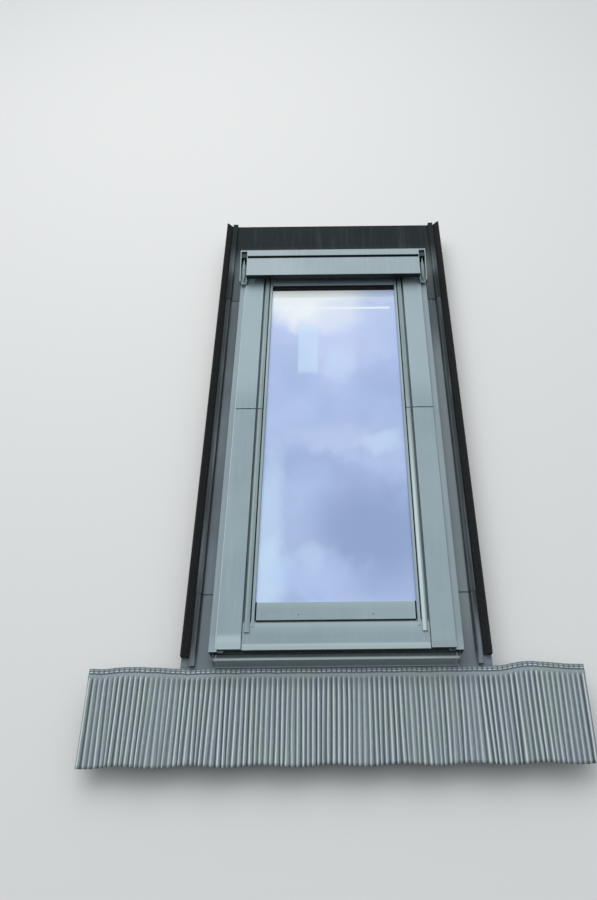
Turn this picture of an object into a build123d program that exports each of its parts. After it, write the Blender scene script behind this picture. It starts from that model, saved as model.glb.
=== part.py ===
from build123d import *
import math
import os

# Centre-pivot roof window with its metal covers, flashing and pleated apron.
# X runs across the window, Y runs up the slope and Z points out of the roof.
# The origin is the middle of the timber frame, on its room-side face.
# All sizes are in millimetres.

# Timber frame
frame_width = 550.0
frame_length = 1180.0
frame_depth = 97.0
frame_side = 28.0
frame_end = 45.0
low_member_drop = 13.0
lining_groove_depth = 6.0
lining_groove_width = 12.0
lining_groove_height = 8.0

# Timber sash
sash_depth = 59.0
sash_side_gap = 3.5
sash_top_gap = 7.0
sash_low_gap = 11.0
stile_width = 33.5
rail_width = 22.0
ledge_width = 22.0
ledge_depth = 40.0

# Glazing
glass_edge_gap = 5.5
glass_end_gap = 4.0
glass_bed = 1.0
pane_thickness = 4.0
pane_cavity = 16.0
spacer_width = 8.0
bed_width = 14.0
block_length = 60.0

# Pivot hinges, on a turning line at the level of the covers
pivot_offset = 48.0
open_angle = 160.0
track_plate_radius = 46.0
track_plate_thickness = 4.5
track_radius = 38.0
track_width = 6.2
track_depth = 3.0
shoe_clearance = 0.3
shoe_arc = 10.0
shoe_start = 5.5
hinge_plate_thickness = 3.5
hinge_plate_start = 25.0
hinge_plate_end = 60.0
hinge_plate_tail = 55.0
hinge_screw_rises = (8.0, 26.0)
cover_clearance = 2.5

# Metal covers
sheet = 1.0
sheet_bend = 0.4
cover_rise = 18.0
cover_width = 55.0
cover_gap = 5.5
cover_leg = 14.0
cover_edge = 5.5
cover_seam = 3.0
cover_end_drop = 1.5
cover_end_slope = 14.0
cover_low_overhang = 5.5
trim_width = 12.0
trim_glass_lap = 1.5
trim_drop = 1.0
trim_sheet = 0.8
trim_foot = 19.0
trim_low_overhang = 24.0
bead_gap = 3.0
bead_width = 6.5
bead_height = 8.5
bead_low_overhang = 11.0
top_bead_lap = 3.0
top_bead_width = 9.0
top_bead_height = 5.0
top_bead_slope = 1.0
top_cover_front = 13.0
top_cover_foot = 14.0
rail_cover_drop = 5.0
rail_cover_overhang = 7.0
rail_cover_slope = 9.0
rail_cover_fall = 1.5
rail_cover_front = 14.0
rail_cover_foot = 8.0
rail_cover_back = 2.8
rail_cover_side_gap = 1.5
glazing_cover_height = 4.0
glazing_cover_gap = 3.5
glazing_cover_reach = 46.5
glazing_screw_x = 85.0
glazing_screw_reach = 17.6
strip_lift = 0.3
strip_notch = 3.5

# Side cladding on the frame
cladding_fit = 0.5
cladding_overhang = 8.5
cladding_drop = 7.0
cladding_leg = 46.0
cladding_foot = 13.0
cladding_low_overhang = 9.5

# Sill cover under the sash
sill_lip = 24.0
sill_height = 90.0
sill_front = 29.0
sill_front_slope = 7.0
sill_foot = 2.0
sill_rib_inset = 4.5
sill_rib_width = 3.5
sill_rib_depth = 1.2
sill_rib_drop = 1.5
sill_start = 5.0
sill_step = 8.0
sill_step_slope = 3.0

# Hood over the top end
hood_back = 29.0
hood_reach = 109.0
hood_rise = 38.0
hood_inset = 13.0
hood_front_drop = 1.0
hood_sheet = 1.2
hood_lip = 18.0
hood_lip_return = 10.0
hood_back_leg = 50.0
hood_bevel = 6.0
hood_bevel_drop = 3.0
hood_groove_start = 28.4
hood_groove_width = 9.0
hood_groove_depth = 9.0
hood_bracket_x = 150.0
hood_bracket_front = 4.0
hood_bracket_width = 36.0
hood_bracket_sheet = 2.0
hood_end_wall = 2.0
hood_end_plate = 2.4
hood_end_width = 22.0
hood_end_floor = 2.0
hood_end_lift = 1.5
hood_end_tip = 4.0
hood_end_front_height = 15.0
hood_end_band = 9.0
hood_foot_gap = 1.5
hood_foot_inset = 2.5
hood_foot_start = 40.0
hood_foot_end = 10.0
inlay_width = 8.0
inlay_height = 25.0
inlay_front_gap = 3.0
inlay_back_gap = 34.0
inlay_tip_height = 9.5
inlay_joint_width = 1.2
inlay_joint_depth = 3.0
plug_length = 27.0
plug_fit = 0.3
plug_drop = 6.0
plug_edge = 1.0

# Flashing around the frame
gutter_floor = 59.0
gutter_sheet = 0.8
gutter_nest = 1.0
gutter_bend = 0.8
gutter_gap = 1.0
gutter_width = 43.0
gutter_upstand = 36.0
welt_height = 11.0
welt_width = 12.0
flange_width = 21.0
flange_rise = 1.0
flashing_reach = 238.0
head_seam = 96.0
sill_seam = 140.0
gutter_lap = 60.0
gutter_tuck = 4.0
frame_seat = 1.5
plate_lap = 3.0
foam_width = 18.0
foam_height = 15.0
foam_tip = 4.0
foam_overhang = 10.0

# Pleated apron under the sill
apron_wing = 278.0
apron_gap = 34.0
apron_band = 21.0
apron_sheet = 1.3
apron_seat = 0.3
apron_plate_lap = 4.0
pleat_count = 80
pleat_height = 6.5
pleat_shape = ((0.0, 0.0), (0.2, 0.0), (0.42, 1.0), (0.8, 0.85))
edge_wave = 3.5
edge_wave_length = 150.0
apron_fall = 7.0

# Gaskets
gasket_base = 4.0
gasket_height = 4.0
gasket_lip = 12.5
gasket_lip_height = 1.3
gasket_lip_thickness = 1.0
gasket_hinge_gap = 6.0
gasket_track_gap = 14.0
low_gasket_lip = 17.0
low_gasket_lift = 1.5
low_gasket_slope = 2.0

# Cover clips
clip_width = 9.0
clip_length = 30.0
clip_gap = 2.5
clip_shares = (0.1, 0.5, 0.9)

# Lock in the bottom rail
rod_width = 10.0
rod_thickness = 5.0
rod_rise = 29.0
rod_slot_clearance = 0.4
rod_slot_room = 2.0
rod_inner_end = 8.0
rod_pin_diameter = 8.0
rod_pin_length = 18.0
rod_tip_gap = 2.0
bush_bore_clearance = 0.4
bush_wall = 2.0
bush_depth = 13.5
lock_case_width = 70.0
lock_case_height = 30.0
lock_case_depth = 20.0
lock_channel_depth = 8.0
spindle_diameter = 8.0
spindle_fit = 0.1
spindle_room = 2.0
spindle_hole_end = 7.0
spindle_drop = 9.0
rose_width = 64.0
rose_depth = 26.0
rose_thickness = 4.0
rose_corner = 3.0
rose_shift = 3.0
rose_fit = 0.2
handle_length = 112.0
handle_width = 20.0
handle_thickness = 11.0
handle_reach = 26.0
handle_edge = 2.5

# Cleaning bolts on the room side of the sash
bolt_diameter = 8.0
bolt_travel = 12.0
bolt_from_top = 20.0
bolt_drop = 8.0
bolt_guide_length = 24.0
bolt_guide_wall = 3.0
bolt_guide_round = 4.2
bolt_clearance = 0.3
bolt_tip_gap = 1.0
bolt_knob_diameter = 6.0
bolt_knob_height = 9.0
bolt_knob_inset = 0.5
bolt_knob_gap = 1.0

# Mounting brackets on the frame sides
bracket_width = 80.0
bracket_sheet = 2.5
bracket_foot = 55.0
bracket_level = 38.0
bracket_low = 8.0
bracket_bend = 2.5
bracket_corner = 8.0
bracket_from_end = 150.0
bracket_hole = 6.5
bracket_hole_spacing = 50.0
bracket_hole_reach = 35.0

# Screws
screw_diameter = 4.0
screw_head = 8.0
screw_length = 30.0
small_screw_diameter = 3.0
small_screw_head = 5.5
hex_head = 8.0
hex_height = 3.5
screw_fit = 0.1

# Places worked out from the sizes above
inner_x = frame_width / 2 - frame_side
frame_end_y = frame_length / 2
frame_in_y = frame_end_y - frame_end
sash_x = inner_x - sash_side_gap
sash_low_z = frame_depth - sash_depth
rod_level = sash_low_z + rod_rise
sash_top_y = frame_in_y - sash_top_gap
sash_low_y = sash_low_gap - frame_in_y
stile_in_x = sash_x - stile_width
ledge_in_x = stile_in_x - ledge_width
ledge_z = sash_low_z + ledge_depth
rail_top_in = sash_top_y - rail_width
rail_low_in = sash_low_y + rail_width
glass_x = stile_in_x - glass_edge_gap
glass_top_y = rail_top_in - glass_end_gap
glass_low_y = rail_low_in + glass_end_gap
inner_pane_z = ledge_z + glass_bed
spacer_z = inner_pane_z + pane_thickness
outer_pane_z = spacer_z + pane_cavity
glass_z = outer_pane_z + pane_thickness
cover_z = frame_depth + cover_rise
pivot_y = pivot_offset
pivot_z = cover_z
trim_out_x = glass_x + trim_glass_lap
trim_in_x = trim_out_x - trim_width
bead_out_x = trim_in_x - bead_gap
bead_in_x = bead_out_x - bead_width
cover_in_x = trim_out_x + cover_gap
cover_out_x = cover_in_x + cover_width
cladding_riser_x = cover_out_x - sheet - cladding_fit
cladding_out_x = frame_width / 2 + cladding_overhang
cladding_z = cover_z - cladding_drop
rail_cover_z = cover_z - rail_cover_drop
rail_cover_end = -frame_end_y - rail_cover_overhang
low_member_z = frame_depth - low_member_drop
hood_z = cover_z + hood_rise
hood_back_y = frame_end_y + hood_back
hood_front_y = hood_back_y - hood_reach
hood_groove_y = hood_back_y - hood_groove_start
hood_half = frame_width / 2 - hood_inset
hood_end_x = hood_half + hood_end_width
hood_end_middle = hood_half + (hood_end_width + hood_end_wall - hood_end_plate) / 2
hood_end_z = cover_z + hood_end_lift
hood_tip_y = hood_front_y - hood_end_tip
gutter_x = frame_width / 2 + gutter_gap
flashing_end_y = frame_end_y + flashing_reach
head_seam_y = frame_end_y - head_seam
sill_seam_y = sill_seam - frame_end_y
apron_half = frame_width / 2 + apron_wing
apron_head_y = -frame_end_y - apron_gap
pleat_head_y = apron_head_y - apron_band
bolt_y = sash_top_y - bolt_from_top
bolt_z = sash_low_z - bolt_drop


def box(x0, x1, y0, y1, z0, z1):
    return Pos((x0 + x1) / 2, (y0 + y1) / 2, (z0 + z1) / 2) * Box(x1 - x0, y1 - y0, z1 - z0)


def along_y(face, y0, y1):
    # A section drawn in X and Z, made solid from y0 to y1.
    start = Plane((0, y1, 0), x_dir=(1, 0, 0), z_dir=(0, -1, 0))
    return extrude(start * face, y1 - y0, dir=(0, -1, 0))


def along_x(face, x0, x1):
    # A section drawn in Y and Z, made solid from x0 to x1.
    start = Plane((x0, 0, 0), x_dir=(0, 1, 0), z_dir=(1, 0, 0))
    return extrude(start * face, x1 - x0, dir=(1, 0, 0))


def outline(points):
    return make_face(Polyline(*points, close=True))


def folded(points, thickness, bend=sheet_bend):
    # The section of a bent sheet, with one face along the points and the sheet on their right,
    # or on their left where the thickness is negative. The bend is its inner radius.
    line = [Vector(*point) for point in points]
    runs = [(b - a).normalized() for a, b in zip(line, line[1:])]
    rights = [Vector(run.Y, -run.X) for run in runs]
    corners = []
    radii = []
    far_radii = []
    for point, before, after, run, following in zip(line[1:], rights, rights[1:], runs, runs[1:]):
        corners.append(point + (before + after) * (thickness / (1 + before.dot(after))))
        turns_right = run.cross(following).Z < 0
        outside = turns_right == (thickness > 0)
        radii.append(bend + abs(thickness) if outside else bend)
        far_radii.append(bend if outside else bend + abs(thickness))
    far = [line[0] + rights[0] * thickness] + corners + [line[-1] + rights[-1] * thickness]
    near_line = FilletPolyline(*line, radius=radii)
    far_line = FilletPolyline(*far, radius=far_radii)
    return make_face([near_line, far_line, Line(line[0], far[0]), Line(line[-1], far[-1])])


def rod(diameter, length, place, direction):
    start = Plane(origin=place, z_dir=direction)
    return extrude(start * Circle(diameter / 2), length)


def screw(place, direction, length=screw_length, grow=0.0,
          diameter=screw_diameter, head=screw_head):
    # A countersunk screw whose flat head lies at the place given.
    start = Plane(origin=place, z_dir=direction)
    half = [
        (0, 0),
        (head / 2 + grow, 0),
        (diameter / 2 + grow, (head - diameter) / 2),
        (diameter / 2 + grow, length + grow),
        (0, length + grow),
    ]
    turned = revolve(Plane.XZ * outline(half), Axis.Z)
    return start.location * turned


def small_screw(place, direction, grow=0.0):
    return screw(place, direction, screw_length, grow, small_screw_diameter, small_screw_head)


def mirrored(piece):
    return mirror(piece, about=Plane.YZ)


def group(pieces):
    solids = [solid for piece in pieces for solid in piece.solids()]
    return Compound(children=solids)


def both_sides(pieces):
    return pieces + [mirrored(piece) for piece in pieces]


# Turns a point of the closed sash, given from the pivot, to where it lies at the angle.
def swung(dy, dz, angle):
    turn = math.radians(angle)
    return (dy * math.cos(turn) + dz * math.sin(turn), dz * math.cos(turn) - dy * math.sin(turn))


def bracket_places():
    return [side * (frame_end_y - bracket_from_end) for side in (-1, 1)]


def hole_shifts():
    return (-bracket_hole_spacing / 2, bracket_hole_spacing / 2)


def bracket_screw_places():
    # Where the screws meet the outer face of the brackets.
    level = (bracket_low + bracket_level) / 2
    face = frame_width / 2 + bracket_sheet
    return [(face, y + shift, level) for y in bracket_places() for shift in hole_shifts()]


def hex_screw(place):
    start = Plane(origin=place, x_dir=(0, 1, 0), z_dir=(1, 0, 0))
    head = extrude(start * RegularPolygon(hex_head / 2, 6), hex_height, dir=(1, 0, 0))
    return head + rod(screw_diameter, screw_length - bracket_sheet, place, (-1, 0, 0))


def track_outline(radius):
    # The half disc of the hinge track, cut off below the covers.
    disc = Pos(pivot_y, pivot_z) * Circle(radius)
    keep = Pos(pivot_y, pivot_z - cover_clearance - radius) * Rectangle(2 * radius, 2 * radius)
    return disc & keep


def hinge_arc(radius, width, start, arc):
    # Part of a ring about the pivot, measured from up the slope towards the room.
    ring = Circle(radius + width / 2) - Circle(radius - width / 2)
    reach = 3 * radius
    corners = [(0, 0)]
    for step in range(5):
        angle = math.radians(-(start + arc * step / 4))
        corners.append((reach * math.cos(angle), reach * math.sin(angle)))
    return Pos(pivot_y, pivot_z) * (ring & outline(corners))


def bush_places():
    # Where the lock rods and the cleaning bolts go into the frame side.
    clean_y, clean_z = swung(bolt_y - pivot_y, bolt_z - pivot_z, open_angle)
    return [
        (lock_channel_y(), rod_level, rod_pin_diameter),
        (bolt_y, bolt_z, bolt_diameter),
        (pivot_y + clean_y, pivot_z + clean_z, bolt_diameter),
    ]


def bush_outer(diameter):
    return diameter + 2 * bush_bore_clearance + 2 * bush_wall


def lock_channel_y():
    return sash_low_y + lock_channel_depth / 2


def frame_side_member():
    body = box(inner_x, frame_width / 2, -frame_end_y, frame_end_y, 0, frame_depth)
    body -= box(inner_x, inner_x + lining_groove_depth, -frame_in_y, frame_in_y,
                lining_groove_height, lining_groove_height + lining_groove_width)
    body -= along_x(track_outline(track_plate_radius), inner_x, inner_x + track_plate_thickness)
    for y, z, diameter in bush_places():
        body -= rod(bush_outer(diameter), bush_depth, (inner_x, y, z), (1, 0, 0))
    for place in bracket_screw_places():
        body -= rod(screw_diameter + 2 * screw_fit, screw_length, place, (-1, 0, 0))
    return body


def frame_end_member(y0, y1, depth, inner_face, inward):
    body = box(-inner_x, inner_x, y0, y1, 0, depth)
    groove = sorted((inner_face, inner_face + inward * lining_groove_depth))
    return body - box(-inner_x, inner_x, groove[0], groove[1],
                      lining_groove_height, lining_groove_height + lining_groove_width)


def sash_stile():
    body = box(stile_in_x, sash_x, sash_low_y, sash_top_y, sash_low_z, frame_depth)
    body += box(ledge_in_x, stile_in_x, rail_low_in + ledge_width, rail_top_in - ledge_width,
                sash_low_z, ledge_z)
    body -= box(stile_in_x, sash_x, sash_low_y, sash_low_y + lock_channel_depth,
                rod_level - rod_slot(), rod_level + rod_slot())
    body -= box(sash_x - hinge_plate_thickness, sash_x, pivot_y + hinge_plate_start,
                pivot_y + hinge_plate_end, pivot_z - hinge_plate_tail, frame_depth)
    for place, direction in hinge_screws():
        body -= screw(place, direction, screw_length / 2, screw_fit)
    return body


def rod_slot():
    return rod_width / 2 + rod_slot_room


def sash_rail(outer, inner, toward):
    ledge = inner + toward * ledge_width
    y0, y1 = sorted((outer, inner))
    body = box(-stile_in_x, stile_in_x, y0, y1, sash_low_z, frame_depth)
    y0, y1 = sorted((inner, ledge))
    return body + box(-stile_in_x, stile_in_x, y0, y1, sash_low_z, ledge_z)


def sash_bottom_rail():
    body = sash_rail(sash_low_y, rail_low_in, 1)
    body -= box(-stile_in_x, stile_in_x, sash_low_y, sash_low_y + lock_channel_depth,
                rod_level - rod_slot(), rod_level + rod_slot())
    body -= box(-lock_case_width / 2, lock_case_width / 2, sash_low_y, sash_low_y + lock_case_depth,
                rod_level - lock_case_height / 2, rod_level + lock_case_height / 2)
    hole = spindle_diameter + spindle_room
    body -= rod(hole, ledge_depth, (0, handle_y(), sash_low_z), (0, 0, 1))
    for place, direction in glazing_screws():
        body -= small_screw(place, direction, screw_fit)
    return body


def handle_y():
    return sash_low_y + lock_case_depth / 2


def glazing_screws():
    y = sash_low_y + glazing_screw_reach
    z = glass_z + glazing_cover_height
    return [((side * glazing_screw_x, y, z), (0, 0, -1)) for side in (-1, 1)]


def hinge_screws():
    y = pivot_y + (hinge_plate_start + hinge_plate_end) / 2
    low = pivot_z - hinge_plate_tail
    return [((sash_x, y, low + rise), (-1, 0, 0)) for rise in hinge_screw_rises]


def pane(z):
    return box(-glass_x, glass_x, glass_low_y, glass_top_y, z, z + pane_thickness)


def ring(half_width, y0, y1, width, z0, z1):
    outer = box(-half_width, half_width, y0, y1, z0, z1)
    return outer - box(width - half_width, half_width - width, y0 + width, y1 - width, z0, z1)


def glass_spacer():
    return ring(glass_x, glass_low_y, glass_top_y, spacer_width, spacer_z, outer_pane_z)


def glazing_bed():
    return ring(glass_x, glass_low_y, glass_top_y, bed_width, ledge_z, inner_pane_z)


def setting_blocks():
    block = box(glass_x / 2, glass_x / 2 + block_length, rail_low_in, glass_low_y, ledge_z, glass_z)
    return group(both_sides([block]))


def hinge_track():
    plate = along_x(track_outline(track_plate_radius), inner_x, inner_x + track_plate_thickness)
    arc = open_angle + shoe_arc + 2.0
    groove = hinge_arc(track_radius, track_width, shoe_start - 1.0, arc)
    return plate - along_x(groove, inner_x, inner_x + track_depth)


def hinge_shoe():
    plate = box(sash_x - hinge_plate_thickness, sash_x, pivot_y + hinge_plate_start,
                pivot_y + hinge_plate_end, pivot_z - hinge_plate_tail, pivot_z - cover_clearance)
    shoe = hinge_arc(track_radius, track_width - 2 * shoe_clearance, shoe_start, shoe_arc)
    plate += along_x(shoe, sash_x, inner_x + track_depth - shoe_clearance)
    for place, direction in hinge_screws():
        plate -= screw(place, direction, screw_length / 2, screw_fit)
    return plate


def wide_cover_section():
    points = [
        (cover_in_x, cover_z - cover_leg),
        (cover_in_x, cover_z),
        (cover_out_x, cover_z),
        (cover_out_x, cover_z - cover_edge),
    ]
    return folded(points, sheet)


def upper_cover():
    return along_y(wide_cover_section(), pivot_y + cover_seam / 2, frame_end_y)


def lower_cover():
    end = -frame_end_y - cover_low_overhang
    bend = end + cover_end_slope
    body = along_y(wide_cover_section(), bend, pivot_y - cover_seam / 2)
    flap = [
        (bend, cover_z),
        (end, cover_z - cover_end_drop),
        (end, cover_z - cover_end_drop - sheet),
        (bend, cover_z - sheet),
    ]
    body += along_x(outline(flap), cover_in_x, cover_out_x)
    low = cover_z - cover_leg
    top = cover_z - cover_end_drop
    cheek = [(bend, cover_z), (end, top), (end, low), (bend, low)]
    body += along_x(outline(cheek), cover_in_x, cover_in_x + sheet)
    # The end is closed, clear of the side cladding that runs on beneath it.
    wall_x = cladding_riser_x - sheet - cladding_fit
    body += box(cover_in_x, wall_x, end, end + sheet, low, top - sheet / 2)
    return body + box(wall_x, cover_out_x, end, end + sheet, cover_z - cover_edge, top - sheet / 2)


def side_trim_section():
    top = cover_z - trim_drop
    points = [
        (trim_in_x, glass_z + strip_lift),
        (trim_in_x, top),
        (trim_out_x, top),
        (trim_out_x, frame_depth + trim_sheet),
        (trim_out_x + trim_foot, frame_depth + trim_sheet),
    ]
    return folded(points, trim_sheet)


def over_rail_cover(y):
    # What lies in the way of the sheet that covers the bottom rail.
    return box(0, cover_in_x, y, sash_low_y + strip_notch, 0, rail_cover_z + strip_lift)


def side_trim(y0, y1):
    body = along_y(side_trim_section(), y0, y1)
    if y0 < sash_low_y:
        body -= over_rail_cover(y0)
        body -= box(0, frame_width, y0, sash_low_y, 0, frame_depth + sheet)
    return body


def glazing_bead():
    top = glass_z + bead_height
    points = [
        (bead_in_x, glass_z),
        (bead_out_x, glass_z),
        (bead_out_x, top),
        (bead_in_x + 1.0, top),
        (bead_in_x, top - 2.0),
    ]
    y0 = sash_low_y - bead_low_overhang
    return along_y(outline(points), y0, sash_top_y) - over_rail_cover(y0)


def top_bead():
    front = rail_top_in - ledge_width - top_bead_lap
    back = front + top_bead_width
    top = glass_z + top_bead_height
    lip = (front + top_bead_slope, top - top_bead_slope)
    points = [(front, glass_z), (back, glass_z), (back, top), lip]
    return along_x(outline(points), -bead_in_x, bead_in_x)


def sash_top_cover():
    front = rail_top_in - top_cover_front
    top = cover_z - trim_drop - sheet
    points = [
        (front, glass_z + strip_lift),
        (front, top),
        (sash_top_y, top),
        (sash_top_y, frame_depth),
        (sash_top_y - top_cover_foot, frame_depth),
    ]
    return along_x(folded(points, sheet), -bead_in_x + 0.5, bead_in_x - 0.5)


def glazing_cover():
    half = bead_in_x - glazing_cover_gap
    top = glass_z + glazing_cover_height
    low = sash_low_y + glass_end_gap
    back = sash_low_y + glazing_cover_reach
    points = [(back, glass_z), (back, top), (low, top), (low, frame_depth)]
    body = along_x(folded(points, -sheet), -half, half)
    for place, direction in glazing_screws():
        body -= small_screw(place, direction, screw_fit)
    return body


def rail_cover():
    back = sash_low_y + rail_cover_back
    low = rail_cover_z - rail_cover_front
    points = [
        (back, frame_depth),
        (back, rail_cover_z),
        (rail_cover_end + rail_cover_slope, rail_cover_z),
        (rail_cover_end, rail_cover_z - rail_cover_fall),
        (rail_cover_end, low),
        (rail_cover_end + rail_cover_foot, low),
    ]
    half = cover_in_x - rail_cover_side_gap
    return along_x(folded(points, -sheet), -half, half)


def side_cladding():
    foot_in = cladding_riser_x - cladding_foot
    points = [
        (foot_in, frame_depth + sheet),
        (cladding_riser_x - sheet, frame_depth + sheet),
        (cladding_riser_x - sheet, cladding_z),
        (cladding_out_x, cladding_z),
        (cladding_out_x, cladding_z - cladding_leg),
    ]
    return along_y(folded(points, sheet), -frame_end_y - cladding_low_overhang, frame_end_y)


def sill_cover():
    front = -frame_end_y - sill_lip
    start = -frame_in_y - sill_start
    step = -frame_end_y - sill_step
    foot = front - sill_front_slope
    low = sill_height - sill_front
    points = [
        (start, low_member_z + sheet),
        (step, low_member_z + sheet),
        (step - sill_step_slope, sill_height),
        (front, sill_height),
        (foot, low),
        (foot - sill_foot, low),
    ]
    half = frame_width / 2
    body = along_x(folded(points, -sheet), -half, half)
    rib = [
        (front, sill_height - sill_rib_drop),
        (foot, low),
        (foot - sill_rib_depth, low),
        (front - sill_rib_depth, sill_height - sill_rib_drop),
    ]
    rib_x = half - sill_rib_inset
    rib_body = along_x(outline(rib), rib_x - sill_rib_width, rib_x)
    body += rib_body + mirrored(rib_body)
    side_notch = box(inner_x, half, -frame_end_y, start, 0, frame_depth + sheet + 1)
    return body - side_notch - mirrored(side_notch)


def hood_cover():
    top = hood_z
    front_top = hood_z - hood_front_drop
    main = hood_groove_y - hood_groove_width
    points = [
        (hood_back_y, top - hood_back_leg),
        (hood_back_y, top - hood_bevel_drop),
        (hood_back_y - hood_bevel, top),
        (hood_groove_y, top),
        (hood_groove_y, top - hood_groove_depth),
        (main, top - hood_groove_depth),
        (main, front_top),
        (hood_front_y, front_top),
        (hood_front_y, top - hood_lip),
        (hood_front_y + hood_lip_return, top - hood_lip),
    ]
    section = folded(points, -hood_sheet)
    return along_x(section, -hood_half, hood_half)


def hood_end():
    # A tray with two sloping side walls, closed at the back by a bent band.
    low = hood_end_z
    side = [
        (hood_back_y, low),
        (hood_back_y, hood_z - hood_bevel_drop),
        (hood_back_y - hood_bevel, hood_z),
        (hood_tip_y, low + hood_end_front_height),
        (hood_tip_y, low),
    ]
    body = along_x(outline(side), hood_half, hood_half + hood_end_wall)
    body += along_x(outline(side), hood_end_x - hood_end_plate, hood_end_x)
    body += box(hood_half, hood_end_x, hood_tip_y, hood_back_y, low, low + hood_end_floor)
    band = [
        (hood_back_y, low),
        (hood_back_y, hood_z - hood_bevel_drop),
        (hood_back_y - hood_bevel, hood_z),
        (hood_back_y - hood_end_band, hood_z - hood_end_floor / 2),
    ]
    body += along_x(folded(band, -hood_end_floor), hood_half, hood_end_x)
    foot_start = frame_end_y - hood_foot_start
    foot_end = frame_end_y - hood_foot_end
    foot_x = cladding_out_x - hood_foot_inset
    return body + box(cover_out_x + hood_foot_gap, foot_x, foot_start, foot_end, cladding_z, low)


def hood_inlay():
    # The pointed metal strip that fills the open top of a hood end.
    middle = hood_end_middle
    front = hood_tip_y + inlay_front_gap
    back = hood_back_y - inlay_back_gap
    half = inlay_width / 2
    shape = make_face([
        ThreePointArc((middle, front), (middle + half, (front + back) / 2), (middle, back)),
        ThreePointArc((middle, back), (middle - half, (front + back) / 2), (middle, front)),
    ])
    low = hood_end_z + hood_end_floor
    body = extrude(Pos(0, 0, low) * shape, inlay_height)
    slope = [
        (front, low + inlay_tip_height),
        (back, low + inlay_height),
        (front, low + inlay_height),
    ]
    body -= along_x(outline(slope), hood_half, hood_end_x)
    joint_y = (front + back) / 2
    joint_low = low + (inlay_tip_height + inlay_height) / 2 - inlay_joint_depth
    return body - box(hood_half, hood_end_x, joint_y, joint_y + inlay_joint_width,
                      joint_low, low + inlay_height)


def hood_plug():
    x0 = hood_half + hood_end_wall + plug_fit
    x1 = hood_end_x - hood_end_plate - plug_fit
    back = hood_back_y - hood_end_floor - plug_fit
    low = hood_end_z + hood_end_floor
    body = box(x0, x1, back - plug_length, back, low, hood_z - plug_drop)
    return chamfer(body.edges().group_by(Axis.Z)[-1], plug_edge)


def hood_brackets():
    top = hood_z - hood_front_drop - hood_sheet
    front = frame_in_y + hood_bracket_front
    back = hood_groove_y - hood_groove_width - 2 * hood_sheet
    points = [(front, frame_depth), (back, frame_depth), (back, top), (front, top)]
    section = folded(points, -hood_bracket_sheet)
    half = hood_bracket_width / 2
    bracket = along_x(section, hood_bracket_x - half, hood_bracket_x + half)
    return group(both_sides([bracket]))


def gutter_line(lift):
    # The line of the gutter section, with nested sheets one lift apart.
    floor = gutter_floor + lift
    riser = gutter_x + gutter_width
    return [
        (gutter_x + lift, gutter_floor + gutter_upstand),
        (gutter_x + lift, floor),
        (riser - lift, floor),
        (riser - lift, floor + welt_height),
        (riser + welt_width + lift, floor + welt_height),
        (riser + welt_width + lift, floor + flange_rise),
        (riser + welt_width + flange_width, floor + flange_rise),
    ]


def gutter(lift, y0, y1):
    return along_y(folded(gutter_line(lift), -gutter_sheet, gutter_bend), y0, y1)


def side_gutter():
    return gutter(0, sill_seam_y, head_seam_y + gutter_lap)


def end_plate(lift, half, y0, y1):
    floor = gutter_floor + lift
    return box(-half, half, y0, y1, floor, floor + gutter_sheet)


def head_flashing():
    lift = gutter_nest
    back = frame_end_y + frame_seat
    leg = gutter(lift, head_seam_y, flashing_end_y)
    inside = gutter_x + lift + gutter_sheet
    leg -= box(0, inside + plate_lap - 1.0, back, flashing_end_y, 0, hood_z)
    body = leg + mirrored(leg) + end_plate(lift, inside + plate_lap, back, flashing_end_y)
    top = gutter_floor + gutter_upstand
    upstand = box(-inside, inside, back, back + gutter_sheet, gutter_floor + lift, top)
    return body + upstand


def sill_flashing():
    lift = -gutter_nest
    front = -frame_end_y - gutter_gap / 2
    leg = gutter(lift, apron_head_y + gutter_tuck, sill_seam_y + gutter_lap)
    body = leg + mirrored(leg)
    inside = gutter_x + lift + gutter_sheet
    half = gutter_x + gutter_width + welt_width + flange_width
    body += end_plate(lift, half, apron_head_y, front)
    body += end_plate(lift, apron_half - gutter_gap, pleat_head_y - apron_plate_lap, apron_head_y)
    low = gutter_floor + lift
    top = low_member_z - sheet - gutter_gap
    return body + box(-inside, inside, front - gutter_sheet, front, low, top)


def pleat_points(height, wave):
    # One side of the pleated sheet: a rounded rib and a narrow valley for each pleat.
    pitch = 2 * apron_half / pleat_count
    points = []
    for pleat in range(pleat_count):
        start = pleat * pitch - apron_half
        lift = wave * math.sin(2 * math.pi * start / edge_wave_length)
        points += [(start + across * pitch, rise * height + lift) for across, rise in pleat_shape]
    return points + [(apron_half, points[-1][1] - pleat_shape[-1][1] * height)]


def pleat_wire(y, height, wave, base):
    upper = [(x, y, base + apron_sheet + rise) for x, rise in pleat_points(height, wave)]
    lower = [(x, y, base + rise) for x, rise in reversed(pleat_points(height, wave))]
    return Wire.make_polygon(upper + lower, close=True)


def pleated_apron():
    base = gutter_floor - gutter_nest + gutter_sheet + apron_seat
    wires = [
        pleat_wire(pleat_head_y + apron_seat, pleat_height, 0, base),
        pleat_wire(-flashing_end_y, pleat_height, edge_wave, base - apron_fall),
    ]
    body = Solid.make_loft(wires, ruled=True)
    top = base + 2 * apron_sheet
    return body + box(-apron_half, apron_half, pleat_head_y, apron_head_y, base, top)


def foam_strip():
    out = gutter_x + gutter_width + welt_width + flange_width
    base = gutter_floor + gutter_nest + flange_rise + gutter_sheet
    top = base + foam_height
    points = [(out - foam_width, base), (out, base), (out, top), (out - foam_tip, top)]
    return along_y(outline(points), -frame_end_y - foam_overhang, flashing_end_y)


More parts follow.
